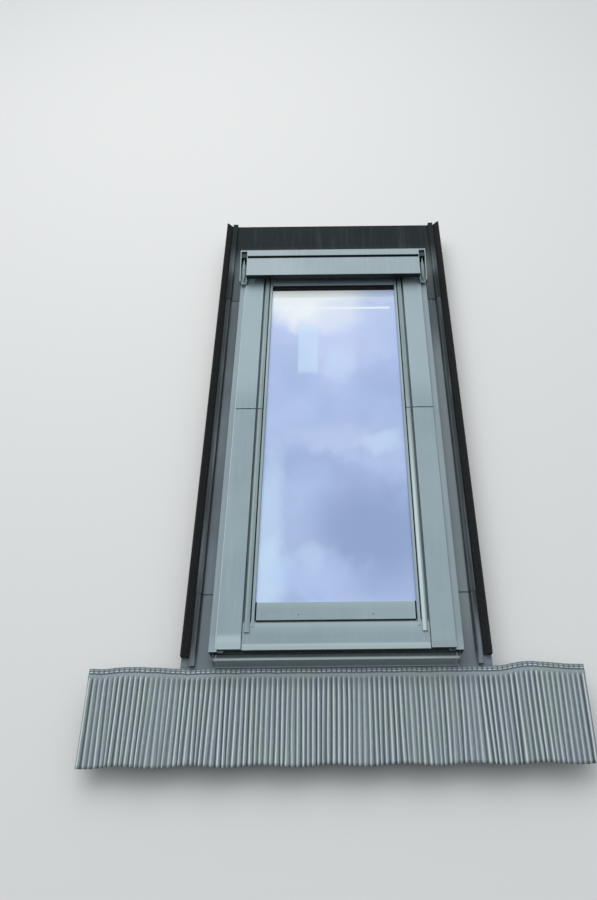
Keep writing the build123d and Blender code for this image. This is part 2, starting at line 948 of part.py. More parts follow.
def upper_gasket():
    low = frame_depth
    lip = low + gasket_lip_height
    points = [
        (inner_x, low),
        (inner_x + gasket_base, low),
        (inner_x + gasket_base, low + gasket_height),
        (inner_x, low + gasket_height),
        (inner_x, lip + gasket_lip_thickness),
        (inner_x - gasket_lip, lip + gasket_lip_thickness),
        (inner_x - gasket_lip, lip),
        (inner_x, lip),
    ]
    return along_y(outline(points), pivot_y + hinge_plate_end + gasket_hinge_gap, frame_in_y)


def lower_gasket():
    low = frame_depth
    lip = low + gasket_lip_height
    points = [
        (sash_x - gasket_base, low),
        (sash_x, low),
        (sash_x, lip),
        (sash_x + gasket_lip, lip),
        (sash_x + gasket_lip, lip + gasket_lip_thickness),
        (sash_x, lip + gasket_lip_thickness),
        (sash_x, low + gasket_height),
        (sash_x - gasket_base, low + gasket_height),
    ]
    end = pivot_y - track_plate_radius - gasket_track_gap
    return along_y(outline(points), sash_low_y, end)


def bottom_gasket():
    low = low_member_z + sheet + low_gasket_lift
    points = [
        (sash_low_y, low),
        (sash_low_y, frame_depth),
        (sash_low_y - gasket_base, frame_depth - low_gasket_slope),
        (sash_low_y - gasket_base, low + low_gasket_slope),
        (sash_low_y - low_gasket_lip, low + gasket_lip_thickness),
        (sash_low_y - low_gasket_lip, low),
    ]
    return along_x(outline(points), -sash_x, sash_x)


def clip_rows(y0, y1):
    return [y0 + (y1 - y0) * share for share in clip_shares]


def upper_clips():
    x0 = inner_x + gasket_base + clip_gap
    rows = clip_rows(pivot_y + hinge_plate_end + clip_length, frame_end_y - clip_length)
    low = frame_depth + sheet
    return [box(x0, x0 + clip_width, y, y + clip_length, low, cover_z - sheet) for y in rows]


def lower_clips():
    x0 = trim_out_x + trim_foot + clip_gap
    rows = clip_rows(-frame_end_y + cover_end_slope + clip_length * 2, -clip_length * 2)
    low = frame_depth
    return [box(x0, x0 + clip_width, y, y + clip_length, low, cover_z - sheet) for y in rows]


def lock_case():
    half = lock_case_width / 2
    body = box(-half, half, sash_low_y, sash_low_y + lock_case_depth,
               rod_level - lock_case_height / 2, rod_level + lock_case_height / 2)
    gap = rod_slot_clearance
    y = lock_channel_y()
    body -= box(-half, half, y - rod_thickness / 2 - gap, y + rod_thickness / 2 + gap,
                rod_level - rod_width / 2 - gap, rod_level + rod_width / 2 + gap)
    level = rod_level - lock_case_height / 2
    depth = lock_case_height / 2 - spindle_hole_end
    return body - rod(spindle_diameter + spindle_fit, depth, (0, handle_y(), level), (0, 0, 1))


def lock_rod():
    y = lock_channel_y()
    pin_end = sash_x - rod_tip_gap
    bar_end = pin_end - rod_pin_length
    body = box(rod_inner_end, bar_end, y - rod_thickness / 2, y + rod_thickness / 2,
               rod_level - rod_width / 2, rod_level + rod_width / 2)
    pin = rod(rod_pin_diameter, rod_pin_length, (bar_end, y, rod_level), (1, 0, 0))
    return body + trim_pin(pin, y)


def trim_pin(pin, y):
    # The pin keeps inside the channel where the channel is shallower than the pin.
    half = lock_channel_depth / 2 - rod_slot_clearance
    return pin & box(0, frame_width, y - half, y + half, 0, frame_depth)


def bushes():
    pieces = []
    for y, z, diameter in bush_places():
        place = (inner_x, y, z)
        tube = rod(bush_outer(diameter), bush_depth, place, (1, 0, 0))
        pieces.append(tube - rod(diameter + 2 * bush_bore_clearance, bush_depth, place, (1, 0, 0)))
    return group(both_sides(pieces))


def handle_rose():
    middle = handle_y() + rose_shift
    low = sash_low_z - rose_thickness
    body = box(-rose_width / 2, rose_width / 2, middle - rose_depth / 2, middle + rose_depth / 2,
               low, sash_low_z)
    body = chamfer(body.edges().filter_by(Axis.Z), rose_corner)
    return body - rod(handle_width + rose_fit, rose_thickness, (0, handle_y(), low), (0, 0, 1))


def handle():
    # A lever on a round neck, with the spindle that reaches into the lock case.
    y = handle_y()
    low = sash_low_z - handle_reach
    neck = rod(handle_width, handle_reach, (0, y, low), (0, 0, 1))
    grip = Rot(0, 0, 90) * SlotOverall(handle_length, handle_width)
    middle = y + (handle_length - handle_width) / 2
    lever = extrude(Pos(0, middle, low) * grip, handle_thickness)
    lever = chamfer(lever.edges().group_by(Axis.Z)[0], handle_edge)
    reach = rod_level - spindle_drop - sash_low_z
    spindle = rod(spindle_diameter, reach, (0, y, sash_low_z), (0, 0, 1))
    return neck + lever + spindle


def cleaning_bolt():
    tip = sash_x - bolt_tip_gap
    length = bolt_guide_length + bolt_travel + bolt_knob_diameter + bolt_knob_gap
    body = rod(bolt_diameter, length, (tip - length, bolt_y, bolt_z), (1, 0, 0))
    knob_x = tip - length + bolt_knob_diameter / 2 + bolt_knob_inset
    knob = rod(bolt_knob_diameter, bolt_diameter / 2 + bolt_knob_height,
               (knob_x, bolt_y, bolt_z - bolt_diameter / 2 - bolt_knob_height), (0, 0, 1))
    return body + knob


def bolt_guide():
    outer = bolt_diameter / 2 + bolt_guide_wall
    x1 = sash_x - bolt_tip_gap
    x0 = x1 - bolt_guide_length
    body = box(x0, x1, bolt_y - outer, bolt_y + outer, bolt_z - outer, sash_low_z)
    body = fillet(body.edges().filter_by(Axis.X).group_by(Axis.Z)[0], bolt_guide_round)
    bore = bolt_diameter + 2 * bolt_clearance
    return body - rod(bore, bolt_guide_length, (x0, bolt_y, bolt_z), (1, 0, 0))


def bracket(y):
    face = frame_width / 2
    points = [
        (face, bracket_low),
        (face, bracket_level + bracket_sheet),
        (face + bracket_foot, bracket_level + bracket_sheet),
    ]
    section = folded(points, bracket_sheet, bracket_bend)
    body = along_y(section, y - bracket_width / 2, y + bracket_width / 2)
    corners = body.edges().filter_by(Axis.Z).group_by(Axis.X)[-1]
    body = chamfer(corners, bracket_corner)
    for shift in hole_shifts():
        place = (face + bracket_hole_reach, y + shift, bracket_level)
        body -= rod(bracket_hole, bracket_sheet, place, (0, 0, 1))
    for place in bracket_screw_places():
        body -= rod(screw_diameter + 2 * screw_fit, bracket_sheet, place, (-1, 0, 0))
    return body


seam = cover_seam / 2
trim_end = sash_low_y - trim_low_overhang
nodes = {}


def pair(name, piece):
    nodes[name + "_right"] = piece
    nodes[name + "_left"] = mirrored(piece)


pair("frame_side", frame_side_member())
nodes["frame_top_member"] = frame_end_member(frame_in_y, frame_end_y, frame_depth, frame_in_y, 1)
nodes["frame_bottom_member"] = frame_end_member(
    -frame_end_y, -frame_in_y, low_member_z, -frame_in_y, -1)
pair("side_cladding", side_cladding())
pair("upper_cover", upper_cover())
nodes["upper_cover_clips"] = group(both_sides(upper_clips()))
nodes["sill_cover"] = sill_cover()
nodes["hood_cover"] = hood_cover()
nodes["hood_brackets"] = hood_brackets()
nodes["hood_ends"] = group(both_sides([hood_end()]))
nodes["hood_inlays"] = group(both_sides([hood_inlay()]))
nodes["hood_plugs"] = group(both_sides([hood_plug()]))
nodes["hinge_tracks"] = group(both_sides([hinge_track()]))
nodes["upper_gaskets"] = group(both_sides([upper_gasket()]))
nodes["bolt_bushes"] = bushes()
pair("side_gutter", side_gutter())
nodes["head_flashing"] = head_flashing()
nodes["sill_flashing"] = sill_flashing()
nodes["pleated_apron"] = pleated_apron()
nodes["foam_strips"] = group(both_sides([foam_strip()]))
nodes["mounting_brackets"] = group(both_sides([bracket(y) for y in bracket_places()]))
nodes["bracket_screws"] = group(both_sides([hex_screw(place) for place in bracket_screw_places()]))

pair("sash_stile", sash_stile())
nodes["sash_top_rail"] = sash_rail(sash_top_y, rail_top_in, -1)
nodes["sash_bottom_rail"] = sash_bottom_rail()
nodes["inner_pane"] = pane(inner_pane_z)
nodes["outer_pane"] = pane(outer_pane_z)
nodes["glass_spacer"] = glass_spacer()
nodes["glazing_bed"] = glazing_bed()
nodes["setting_blocks"] = setting_blocks()
nodes["upper_trims"] = group(both_sides([side_trim(pivot_y + seam, sash_top_y)]))
nodes["lower_trims"] = group(both_sides([side_trim(trim_end, pivot_y - seam)]))
nodes["glazing_beads"] = group(both_sides([glazing_bead()]))
nodes["top_bead"] = top_bead()
nodes["sash_top_cover"] = sash_top_cover()
nodes["glazing_cover"] = glazing_cover()
nodes["glazing_cover_screws"] = group([small_screw(*place) for place in glazing_screws()])
nodes["rail_cover"] = rail_cover()
pair("lower_cover", lower_cover())
nodes["lower_cover_clips"] = group(both_sides(lower_clips()))
nodes["hinge_shoes"] = group(both_sides([hinge_shoe()]))
hinge_fixings = [screw(*place, screw_length / 2) for place in hinge_screws()]
nodes["hinge_screws"] = group(both_sides(hinge_fixings))
nodes["lower_gaskets"] = group(both_sides([lower_gasket()]))
nodes["bottom_gasket"] = bottom_gasket()
nodes["lock_case"] = lock_case()
nodes["handle_rose"] = handle_rose()
nodes["handle"] = handle()
pair("lock_rod", lock_rod())
pair("cleaning_bolt", cleaning_bolt())
nodes["bolt_guides"] = group(both_sides([bolt_guide()]))

os.makedirs("parts", exist_ok=True)
for name, piece in nodes.items():
    export_step(piece, "parts/" + name + ".step")
print(len(nodes), "nodes")
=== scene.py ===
import math

import bmesh
import bpy
from mathutils import Matrix, Vector


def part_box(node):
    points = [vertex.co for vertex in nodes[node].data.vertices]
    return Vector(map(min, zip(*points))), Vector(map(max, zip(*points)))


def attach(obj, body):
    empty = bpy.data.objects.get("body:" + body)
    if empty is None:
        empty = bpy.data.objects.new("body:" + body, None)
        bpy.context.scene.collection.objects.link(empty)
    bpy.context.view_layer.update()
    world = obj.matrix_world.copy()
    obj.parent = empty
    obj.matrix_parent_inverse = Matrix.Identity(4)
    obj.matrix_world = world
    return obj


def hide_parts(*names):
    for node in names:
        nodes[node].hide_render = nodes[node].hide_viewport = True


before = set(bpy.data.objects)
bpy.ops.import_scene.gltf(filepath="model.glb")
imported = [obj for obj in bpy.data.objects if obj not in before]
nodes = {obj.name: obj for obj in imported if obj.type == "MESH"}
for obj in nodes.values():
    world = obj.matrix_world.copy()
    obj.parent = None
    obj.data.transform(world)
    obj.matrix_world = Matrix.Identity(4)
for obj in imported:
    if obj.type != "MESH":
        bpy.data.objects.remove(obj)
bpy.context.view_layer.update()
print("frame loaded:", len(nodes), "nodes")


# One socket of a node tree. Arithmetic on it adds Math nodes.
class Wire:
    def __init__(self, build, socket):
        self.build = build
        self.socket = socket

    def __add__(self, other):
        return self.build.math("ADD", self, other)

    def __radd__(self, other):
        return self.build.math("ADD", other, self)

    def __sub__(self, other):
        return self.build.math("SUBTRACT", self, other)

    def __rsub__(self, other):
        return self.build.math("SUBTRACT", other, self)

    def __mul__(self, other):
        return self.build.math("MULTIPLY", self, other)

    def __truediv__(self, other):
        return self.build.math("DIVIDE", self, other)

    def __pow__(self, other):
        return self.build.math("POWER", self, other)

    def __abs__(self):
        return self.build.math("ABSOLUTE", self)


# Adds nodes to a tree. Settings are set first, then values or links go to the sockets.
class NodeBuild:
    def __init__(self, tree):
        self.tree = tree

    def add(self, kind, settings=None, values=None, output=0):
        node = self.tree.nodes.new(kind)
        for name, value in (settings or {}).items():
            if name == "stops":
                ramp = node.color_ramp
                while len(ramp.elements) < len(value):
                    ramp.elements.new(0.5)
                for element, (position, colour) in zip(ramp.elements, value):
                    element.position = position
                    element.color = asColour(colour)
            else:
                setattr(node, name, value)
        for name, value in (values or {}).items():
            socket = node.inputs[name]
            if isinstance(value, Wire):
                self.tree.links.new(value.socket, socket)
            else:
                socket.default_value = value
        return Wire(self, node.outputs[output]) if len(node.outputs) else None

    def math(self, operation, *terms):
        return self.add("ShaderNodeMath", {"operation": operation}, dict(enumerate(terms)))

    def vectorMath(self, operation, *terms, output=0):
        values = dict(enumerate(terms))
        return self.add("ShaderNodeVectorMath", {"operation": operation}, values, output)

    def vector(self, x=0.0, y=0.0, z=0.0):
        return self.add("ShaderNodeCombineXYZ", None, {"X": x, "Y": y, "Z": z})

    def axis(self, vector, letter):
        return self.add("ShaderNodeSeparateXYZ", None, {"Vector": vector}, letter)

    def attribute(self, title):
        return self.add("ShaderNodeAttribute", {"attribute_name": title}, output="Fac")

    def objectPlace(self):
        return self.add("ShaderNodeTexCoord", output="Object")

    # Stretches the place, so that a pattern comes out longer where the scale is smaller.
    def scaled(self, place, scale):
        return self.vectorMath("MULTIPLY", place, Vector(scale))

    def noise(self, place, scale, detail=3.0, roughness=0.5, distortion=0.0):
        values = {"Vector": place, "Scale": scale, "Detail": detail, "Roughness": roughness,
                  "Distortion": distortion}
        return self.add("ShaderNodeTexNoise", None, values, "Fac")

    def longNoise(self, place, stretch, **shape):
        return self.noise(self.scaled(place, stretch), 1.0, **shape)

    # Brings the part of a value between two limits to the range 0 to 1.
    def between(self, value, low, high, start=0.0, end=1.0, smooth=True):
        settings = {"interpolation_type": "SMOOTHSTEP" if smooth else "LINEAR"}
        values = {"Value": value, 1: low, 2: high, 3: start, 4: end}
        return self.add("ShaderNodeMapRange", settings, values)

    def mixColour(self, factor, first, second):
        values = {0: factor, 6: asColour(first), 7: asColour(second)}
        return self.add("ShaderNodeMix", {"data_type": "RGBA"}, values, 2)

    def bump(self, height, distance, strength=1.0, below=None):
        values = {"Height": height, "Distance": distance, "Strength": strength}
        if below is not None:
            values["Normal"] = below
        return self.add("ShaderNodeBump", None, values)

    # Stores named values on the points of a mesh, for its material to read.
    def mark(self, geometry, marks):
        for title, value in marks.items():
            settings = {"data_type": "FLOAT", "domain": "POINT"}
            values = {"Geometry": geometry, "Name": title, "Value": value}
            geometry = self.add("GeometryNodeStoreNamedAttribute", settings, values)
        return geometry


def asColour(value):
    return value if isinstance(value, Wire) else (*value, 1.0)


# A colour given as a screen shows it, 0 to 255, made linear.
def screen(red, green, blue):
    parts = [value / 255 for value in (red, green, blue)]
    return tuple(v / 12.92 if v <= 0.04045 else ((v + 0.055) / 1.055) ** 2.4 for v in parts)


def startMaterial(name):
    material = bpy.data.materials.new(name)
    material.use_nodes = True
    material.node_tree.nodes.clear()
    return material, NodeBuild(material.node_tree)


def finishMaterial(build, shader):
    build.add("ShaderNodeOutputMaterial", None, {"Surface": shader})


def finishPaint(build, values):
    finishMaterial(build, build.add("ShaderNodeBsdfPrincipled", None, values))


# How near a point is to a sharp edge, 0 to 1.
def edgeMask(build, radius):
    sharp, flat = 0.72, 0.97  # how well the rounded and the real facing agree
    rounded = build.add("ShaderNodeBevel", {"samples": 8}, {"Radius": radius})
    facing = build.add("ShaderNodeNewGeometry", output="Normal")
    match = build.vectorMath("DOT_PRODUCT", rounded, facing, output="Value")
    return build.between(match, sharp, flat, 1.0, 0.0)


# One inside a box seen from above, with soft borders.
def softBox(build, across, up, sides, ends, blur):
    inside = 1.0
    for value, (low, high), soft in ((across, sides, blur[0]), (up, ends, blur[1])):
        inside = build.between(value, low - soft, low + soft) * inside
        inside = build.between(value, high - soft, high + soft, 1.0, 0.0) * inside
    return inside


# Sheet metal with stove paint: slow waves in the sheet, fine orange peel, rain streaks and dust,
# painted highlights on sharp edges, painted shade on faces that look down the roof, and the bands
# and patches of each look, many of them painted light and shade.
def paintedSheet(name, look):
    material, build = startMaterial(name)
    place = build.objectPlace()
    across, up, height = [build.axis(place, letter) for letter in "XYZ"]
    tone = build.noise(place, look["toneScale"])
    streak = build.longNoise(place, look["streakStretch"], detail=4.0, roughness=0.6)
    dust = build.noise(place, look["dustScale"], detail=4.0, roughness=0.7)
    speck = build.between(dust, *look["dustRange"])
    colour = build.mixColour(build.between(tone, *look["toneRange"]), look["deep"], look["pale"])
    for value, bands in ((up, look["bands"]), (height, look["levels"])):
        for low, high, share, shade in bands:
            colour = build.mixColour(build.between(value, low, high, 0.0, share), colour, shade)
    for sides, ends, blur, share, shade in look["patches"]:
        patch = softBox(build, across, up, sides, ends, blur)
        colour = build.mixColour(patch * share, colour, shade)
    # Faces that look down the roof get painted shade, and sharp edges a painted highlight.
    facing = build.axis(build.add("ShaderNodeTexCoord", output="Normal"), "Y")
    front = build.between(facing, *look["frontRange"], 0.0, look["front"])
    streaks = build.between(streak, *look["streakRange"]) * look["streaks"]
    edges = edgeMask(build, look["edgeRadius"]) * look["edges"]
    for share, shade in ((streaks, "washed"), (speck * look["dust"], "dustColour"),
                         (edges, "edgeColour"), (front, "frontColour")):
        colour = build.mixColour(share, colour, look[shade])
    roughness = look["roughness"] + (streak - 0.5) * look["streakRough"] + speck * look["dustRough"]
    waves = build.bump(build.longNoise(place, look["waveStretch"], detail=1.0), look["waves"])
    peel = build.noise(place, look["peelScale"], detail=2.0)
    finishPaint(build, {
        "Base Color": colour, "Roughness": roughness, "Specular IOR Level": look["gloss"],
        "Normal": build.bump(peel, look["peel"], look["peelStrength"], waves)})
    return material


# The same patch of shade on the left and on the right.
def bothSides(low, high, *patch):
    return [((-high, -low), *patch), ((low, high), *patch)]


# What all the painted sheets share. A range runs from where a mark starts to where it is full.
sheetPaint = {
    "toneRange": (0.3, 0.7), "streakStretch": (90.0, 5.0, 90.0), "streakRange": (0.45, 0.8),
    "dustScale": 420.0, "dustRange": (0.62, 0.72), "streakRough": 0.14, "dustRough": 0.12,
    "peelScale": 1500.0, "peel": 0.00012, "peelStrength": 0.6,
    "waveStretch": (9.0, 3.0, 9.0), "waves": 0.0012, "gloss": 0.25,
    "frontRange": (-0.5, -0.85), "levels": [],
}
wholeWidth = (-1.0, 1.0)
sideReach = (-0.6, 0.6)
coverEnd = (-0.7, -0.566)
# Painted reflection of the sky on the lower ends of the covers
coverEndHighlight = (-0.556, -0.572, 0.6, screen(168, 188, 192))

# Bands start at one place up the roof and are full at the other, levels the same by height;
# share and shade follow. Patches are boxes seen from above: across, up, blur, share and shade.
claddingLook = dict(
    sheetPaint,
    deep=screen(146, 164, 170), pale=screen(156, 174, 180), toneScale=5.0,
    washed=screen(170, 187, 192), streaks=0.3, dustColour=screen(180, 189, 190), dust=0.25,
    edges=0.95, edgeRadius=0.002, edgeColour=screen(196, 212, 215),
    front=0.9, frontColour=screen(12, 20, 24), roughness=0.38,
    bands=[
        coverEndHighlight,
        (0.05, 0.15, 0.45, screen(176, 194, 201)),  # upper covers
    ],
    patches=[
        # painted reflection on the lower end of the left cover, toned down on the right one
        ((-0.3, -0.2), coverEnd, (0.001, 0.006), 0.6, screen(188, 206, 210)),
        ((0.2, 0.3), coverEnd, (0.001, 0.006), 0.6, screen(150, 165, 170)),
    ])
gutterLook = dict(
    sheetPaint,
    deep=screen(96, 106, 113), pale=screen(110, 120, 128), toneScale=8.0,
    washed=screen(126, 136, 142), streaks=0.5, dustColour=screen(150, 152, 150), dust=0.35,
    edges=0.5, edgeRadius=0.0016, edgeColour=screen(150, 162, 168),
    front=0.5, frontColour=screen(40, 48, 54), roughness=0.45,
    bands=[
        (-0.1, 0.5, 0.75, screen(80, 92, 95)),  # darker towards the head
        (-0.3, -0.6, 0.5, screen(122, 133, 140)),  # paler towards the sill
    ],
    patches=[
        # painted shade at the foot of the outer wall, then painted shadow on the strip outside it
        *bothSides(0.3155, 0.323, sideReach, (0.0006, 0.02), 0.7, screen(28, 34, 36)),
        *bothSides(0.323, 0.34, (0.05, 0.6), (0.0006, 0.2), 0.75, screen(24, 28, 30)),
        # painted shade on the strip outside, lower down on both sides
        ((-0.34, -0.323), sideReach, (0.0006, 0.05), 0.9, screen(40, 47, 47)),
        ((0.323, 0.34), (-0.52, 0.6), (0.0006, 0.05), 0.9, screen(40, 47, 47)),
        # painted light on the floor of the right gutter, then painted shadow lines under the edges
        # at the upper and the lower seam
        ((0.2775, 0.3155), (-0.55, 0.33), (0.0006, 0.08), 0.9, screen(136, 146, 149)),
        (wholeWidth, (0.4902, 0.4945), (0.1, 0.0005), 0.9, screen(18, 26, 30)),
        (wholeWidth, (-0.4535, -0.4495), (0.1, 0.0005), 0.6, screen(40, 48, 54)),
    ])
# The head flashing, with painted shadow darkening its upper part, where the roof tiles lie over it.
headLook = dict(
    gutterLook,
    deep=screen(90, 101, 103), pale=screen(98, 109, 111), washed=screen(104, 113, 115),
    streaks=0.15, gloss=0.05, bands=[(0.62, 0.74, 0.9, screen(24, 30, 32))])
# The glazing cover, with a painted reflection along its upper part.
coverLook = dict(claddingLook, bands=[(-0.507, -0.489, 0.45, screen(168, 190, 192))])
railLook = dict(
    claddingLook,
    bands=[
        (-0.555, -0.565, 0.35, screen(139, 156, 163)),
        (-0.581, -0.5865, 0.8, screen(190, 206, 209)),  # painted highlight on the bent lower edge
        (-0.554, -0.536, 0.7, screen(174, 191, 197)),
    ],
    patches=[
        (wholeWidth, (-0.5365, -0.5), (0.1, 0.0015), 0.7, screen(52, 66, 74)),  # painted shadow in the joint at its head
    ])
sillLook = dict(
    claddingLook, front=0.0, streaks=0.12, dust=0.1,
    bands=[(-0.6085, -0.611, 0.85, screen(192, 201, 202))],  # painted light on the bend of its front
    # painted light on its front face below the bend
    levels=[(0.089, 0.087, 0.9, screen(160, 175, 179))],
    patches=[
        # shade under the rail cover, and the pale ends of the sill cover
        (wholeWidth, (-0.6085, -0.59), (0.1, 0.0018), 0.85, screen(46, 60, 64)),
        *bothSides(0.267, 0.2705, (-0.63, -0.6), (0.0003, 0.0003), 0.8, screen(178, 188, 188)),
    ])
trimLook = dict(
    claddingLook,
    deep=screen(128, 147, 149), pale=screen(140, 159, 161), bands=[coverEndHighlight],
    # painted highlights along the right trim and, fainter, the left one
    patches=[
        ((0.1945, 0.202), (-0.7, -0.05), (0.001, 0.3), 0.85, screen(216, 230, 233)),
        ((-0.2045, -0.2005), (-0.58, 0.4), (0.001, 0.2), 0.4, screen(186, 202, 203)),
    ])
# The hood, paler than the cladding as painted light on its top, with painted shade on its right
# part, its front and its bevelled back edge.
hoodLook = dict(
    claddingLook,
    deep=screen(159, 175, 180), pale=screen(170, 185, 190), washed=screen(186, 199, 202),
    front=1.0, frontColour=screen(2, 8, 10),
    bands=[(0.6125, 0.6135, 0.8, screen(116, 130, 134))],  # painted shade on the bevelled back edge, behind the groove
    patches=[((0.05, 1.0), (0.4, 0.6125), (0.13, 0.0005), 0.8, screen(156, 173, 179))])
sideLook = dict(claddingLook, patches=[
    # painted shadow under the lower ends, painted shade on the right flange, then on the left one,
    # with a painted highlight on its inner edge
    *bothSides(0.2, 0.2655, (-0.61, -0.595), (0.0006, 0.0006), 0.9, screen(26, 38, 42)),
    ((0.25, 0.3), (0.0, 0.7), (0.002, 0.04), 0.85, screen(140, 154, 162)),
    ((0.25, 0.3), (-0.6, 0.0), (0.002, 0.04), 0.6, screen(136, 150, 156)),
    ((-0.3, -0.25), (-0.6, 0.7), (0.002, 0.04), 0.6, screen(136, 150, 156)),
    ((-0.2695, -0.25), (-0.6, 0.7), (0.0005, 0.04), 0.9, screen(206, 220, 222)),
])


# Pleated sheet: painted highlights on the crests and the raised squares, painted shade in the folds
# and the pressed lines of the head band, and a chalky bloom.
def apronPaint(name):
    look = {
        "fold": screen(58, 68, 72), "flank": screen(144, 157, 162), "crest": screen(218, 227, 230),
        "green": screen(138, 158, 146), "blue": screen(134, 142, 164), "tint": 0.3,
        "tintStretch": (16.0, 6.0, 10.0), "tintRange": (0.35, 0.65),
        "crestRange": (0.2, 0.9), "leastShine": 0.45, "shineSpread": 0.55,
        "mottleStretch": (300.0, 70.0, 300.0), "mottleRange": (0.52, 0.78), "mottle": 0.4,
        "crimpRange": (0.25, 0.8), "crimp": 0.65, "roughness": 0.46, "mottleRough": 0.3,
        "grainScale": 900.0, "grain": 0.0002, "grainStrength": 0.8, "gloss": 0.5,
    }
    material, build = startMaterial(name)
    place = build.objectPlace()
    fold, crest, chance, crimp = [
        build.attribute(title) for title in ("fold", "crest", "tone", "crimp")]
    broad = build.longNoise(place, look["tintStretch"])
    mottle = build.longNoise(place, look["mottleStretch"], detail=4.0, roughness=0.65)
    grain = build.noise(place, look["grainScale"], roughness=0.6)
    tint = build.mixColour(build.between(broad, *look["tintRange"]), look["green"], look["blue"])
    colour = build.mixColour(look["tint"], look["flank"], tint)
    shine = look["leastShine"] + chance * look["shineSpread"]
    # Painted highlights on the crests, a chalky bloom in the same pale colour, then painted shade
    # in the folds and the pressed lines
    for share, shade in ((build.between(crest, *look["crestRange"]) * shine, "crest"),
                         (build.between(mottle, *look["mottleRange"]) * look["mottle"], "crest"),
                         (fold, "fold"),
                         (build.between(crimp, *look["crimpRange"], 0.0, look["crimp"]), "fold")):
        colour = build.mixColour(share, colour, look[shade])
    finishPaint(build, {
        "Base Color": colour, "Roughness": look["roughness"] + (mottle - 0.5) * look["mottleRough"],
        "Normal": build.bump(grain, look["grain"], look["grainStrength"]),
        "Specular IOR Level": look["gloss"]})
    return material


# Coated glass with a painted reflection of the sky: soft clouds painted as pale and deeper patches,
# a painted glare along its head, a painted reflection of a pane and a painted light line.
def coatedGlassPaintedSky(name):
    look = {
        "bright": screen(250, 255, 255), "clear": screen(180, 199, 238),
        "deep": screen(148, 168, 210), "lavender": screen(200, 212, 248),
        "patch": screen(206, 231, 254), "azure": screen(190, 215, 255),
        "stops": [(0.08, "deep"), (0.42, "clear"), (0.64, "lavender"), (0.9, "bright")],
        "driftStretch": (5.0, 4.0, 1.0), "puffStretch": (14.0, 11.0, 1.0),
        "level": 0.4, "drift": 0.4, "puff": 0.16, "strongWarp": 0.09, "weakWarp": 0.05,
        "headRange": (0.1, 0.48), "head": 0.2, "cloudEdge": 1.6,
        # painted reflection of a pane, a painted light line and a painted glare along the head
        "paneShare": 0.6, "pane": ((-0.102, -0.046), (0.178, 0.354), (0.004, 0.01)),
        "line": ((-0.15, 0.168), (0.4155, 0.423), (0.003, 0.002)),
        "lineFade": (-0.17, 0.1, 0.15, 0.8),
        "glareUp": (0.44, 0.468), "glareAcross": (0.16, -0.02, 0.1, 1.0),
        "roughness": 0.03, "mirror": 0.06,
    }
    # Each painted cloud reflection: middle across and up, half width, half length, shade and share.
    clouds = [
        (-0.09, 0.45, 0.15, 0.1, "bright", 0.9), (0.1, 0.465, 0.14, 0.03, "patch", 0.3),
        (0.0, 0.3, 0.075, 0.16, "lavender", 0.9), (0.02, 0.21, 0.05, 0.06, "patch", 0.35),
        (-0.15, 0.18, 0.07, 0.14, "deep", 0.25), (0.15, 0.15, 0.09, 0.07, "deep", 0.35),
        (0.0, -0.04, 0.17, 0.035, "lavender", 0.4), (0.12, -0.05, 0.06, 0.035, "patch", 0.5),
        (-0.05, -0.13, 0.14, 0.05, "deep", 0.45), (0.09, -0.3, 0.15, 0.16, "deep", 0.95),
        (-0.165, -0.27, 0.035, 0.2, "patch", 0.5), (-0.165, -0.42, 0.045, 0.09, "patch", 0.8),
        (-0.07, -0.385, 0.035, 0.045, "patch", 0.4), (-0.06, -0.16, 0.06, 0.05, "clear", 0.5),
        (-0.02, 0.39, 0.11, 0.07, "bright", 0.4), (-0.06, -0.42, 0.13, 0.06, "azure", 0.5),
    ]
    material, build = startMaterial(name)
    place = build.objectPlace()
    across, up = build.axis(place, "X"), build.axis(place, "Y")
    drift = build.longNoise(place, look["driftStretch"], roughness=0.45, distortion=0.4) - 0.5
    puff = build.longNoise(place, look["puffStretch"], distortion=0.3) - 0.5
    level = (look["level"] + drift * look["drift"] + puff * look["puff"]
             + build.between(up, *look["headRange"], 0.0, look["head"]))
    stops = [(position, look[shade]) for position, shade in look["stops"]]
    colour = build.add("ShaderNodeValToRGB", {"stops": stops}, {"Fac": level})
    cloudX = across + drift * look["strongWarp"] + puff * look["weakWarp"]
    cloudY = up + puff * look["strongWarp"] + drift * look["weakWarp"]
    for x, y, halfWidth, halfLength, shade, share in clouds:
        away = ((cloudX - x) / halfWidth) ** 2.0 + ((cloudY - y) / halfLength) ** 2.0
        cloud = build.between(away, 0.0, look["cloudEdge"], share, 0.0)
        colour = build.mixColour(cloud, colour, look[shade])
    # Painted glare along the head, then a painted reflection of a pane and a painted light line.
    glare = build.between(up, *look["glareUp"]) * build.between(across, *look["glareAcross"])
    colour = build.mixColour(glare, colour, look["bright"])
    pane = softBox(build, across, up, *look["pane"])
    colour = build.mixColour(pane * look["paneShare"], colour, look["patch"])
    line = softBox(build, across, up, *look["line"]) * build.between(across, *look["lineFade"])
    colour = build.mixColour(line, colour, look["bright"])
    finishPaint(build, {
        "Base Color": colour, "Metallic": look["mirror"], "Roughness": look["roughness"]})
    return material


# Clear glass of the inner pane.
def clearGlass(name):
    look = {
        "colour": (0.8, 0.88, 0.86), "cover": 0.22, "smearCover": 0.1, "smearScale": 14.0,
        "roughness": 0.03, "smearRough": 0.05, "gloss": 0.8,
    }
    material, build = startMaterial(name)
    smear = build.noise(build.objectPlace(), look["smearScale"], detail=4.0, roughness=0.6)
    finishPaint(build, {
        "Base Color": asColour(look["colour"]), "Alpha": look["cover"] + smear * look["smearCover"],
        "Roughness": look["roughness"] + smear * look["smearRough"],
        "Specular IOR Level": look["gloss"]})
    return material
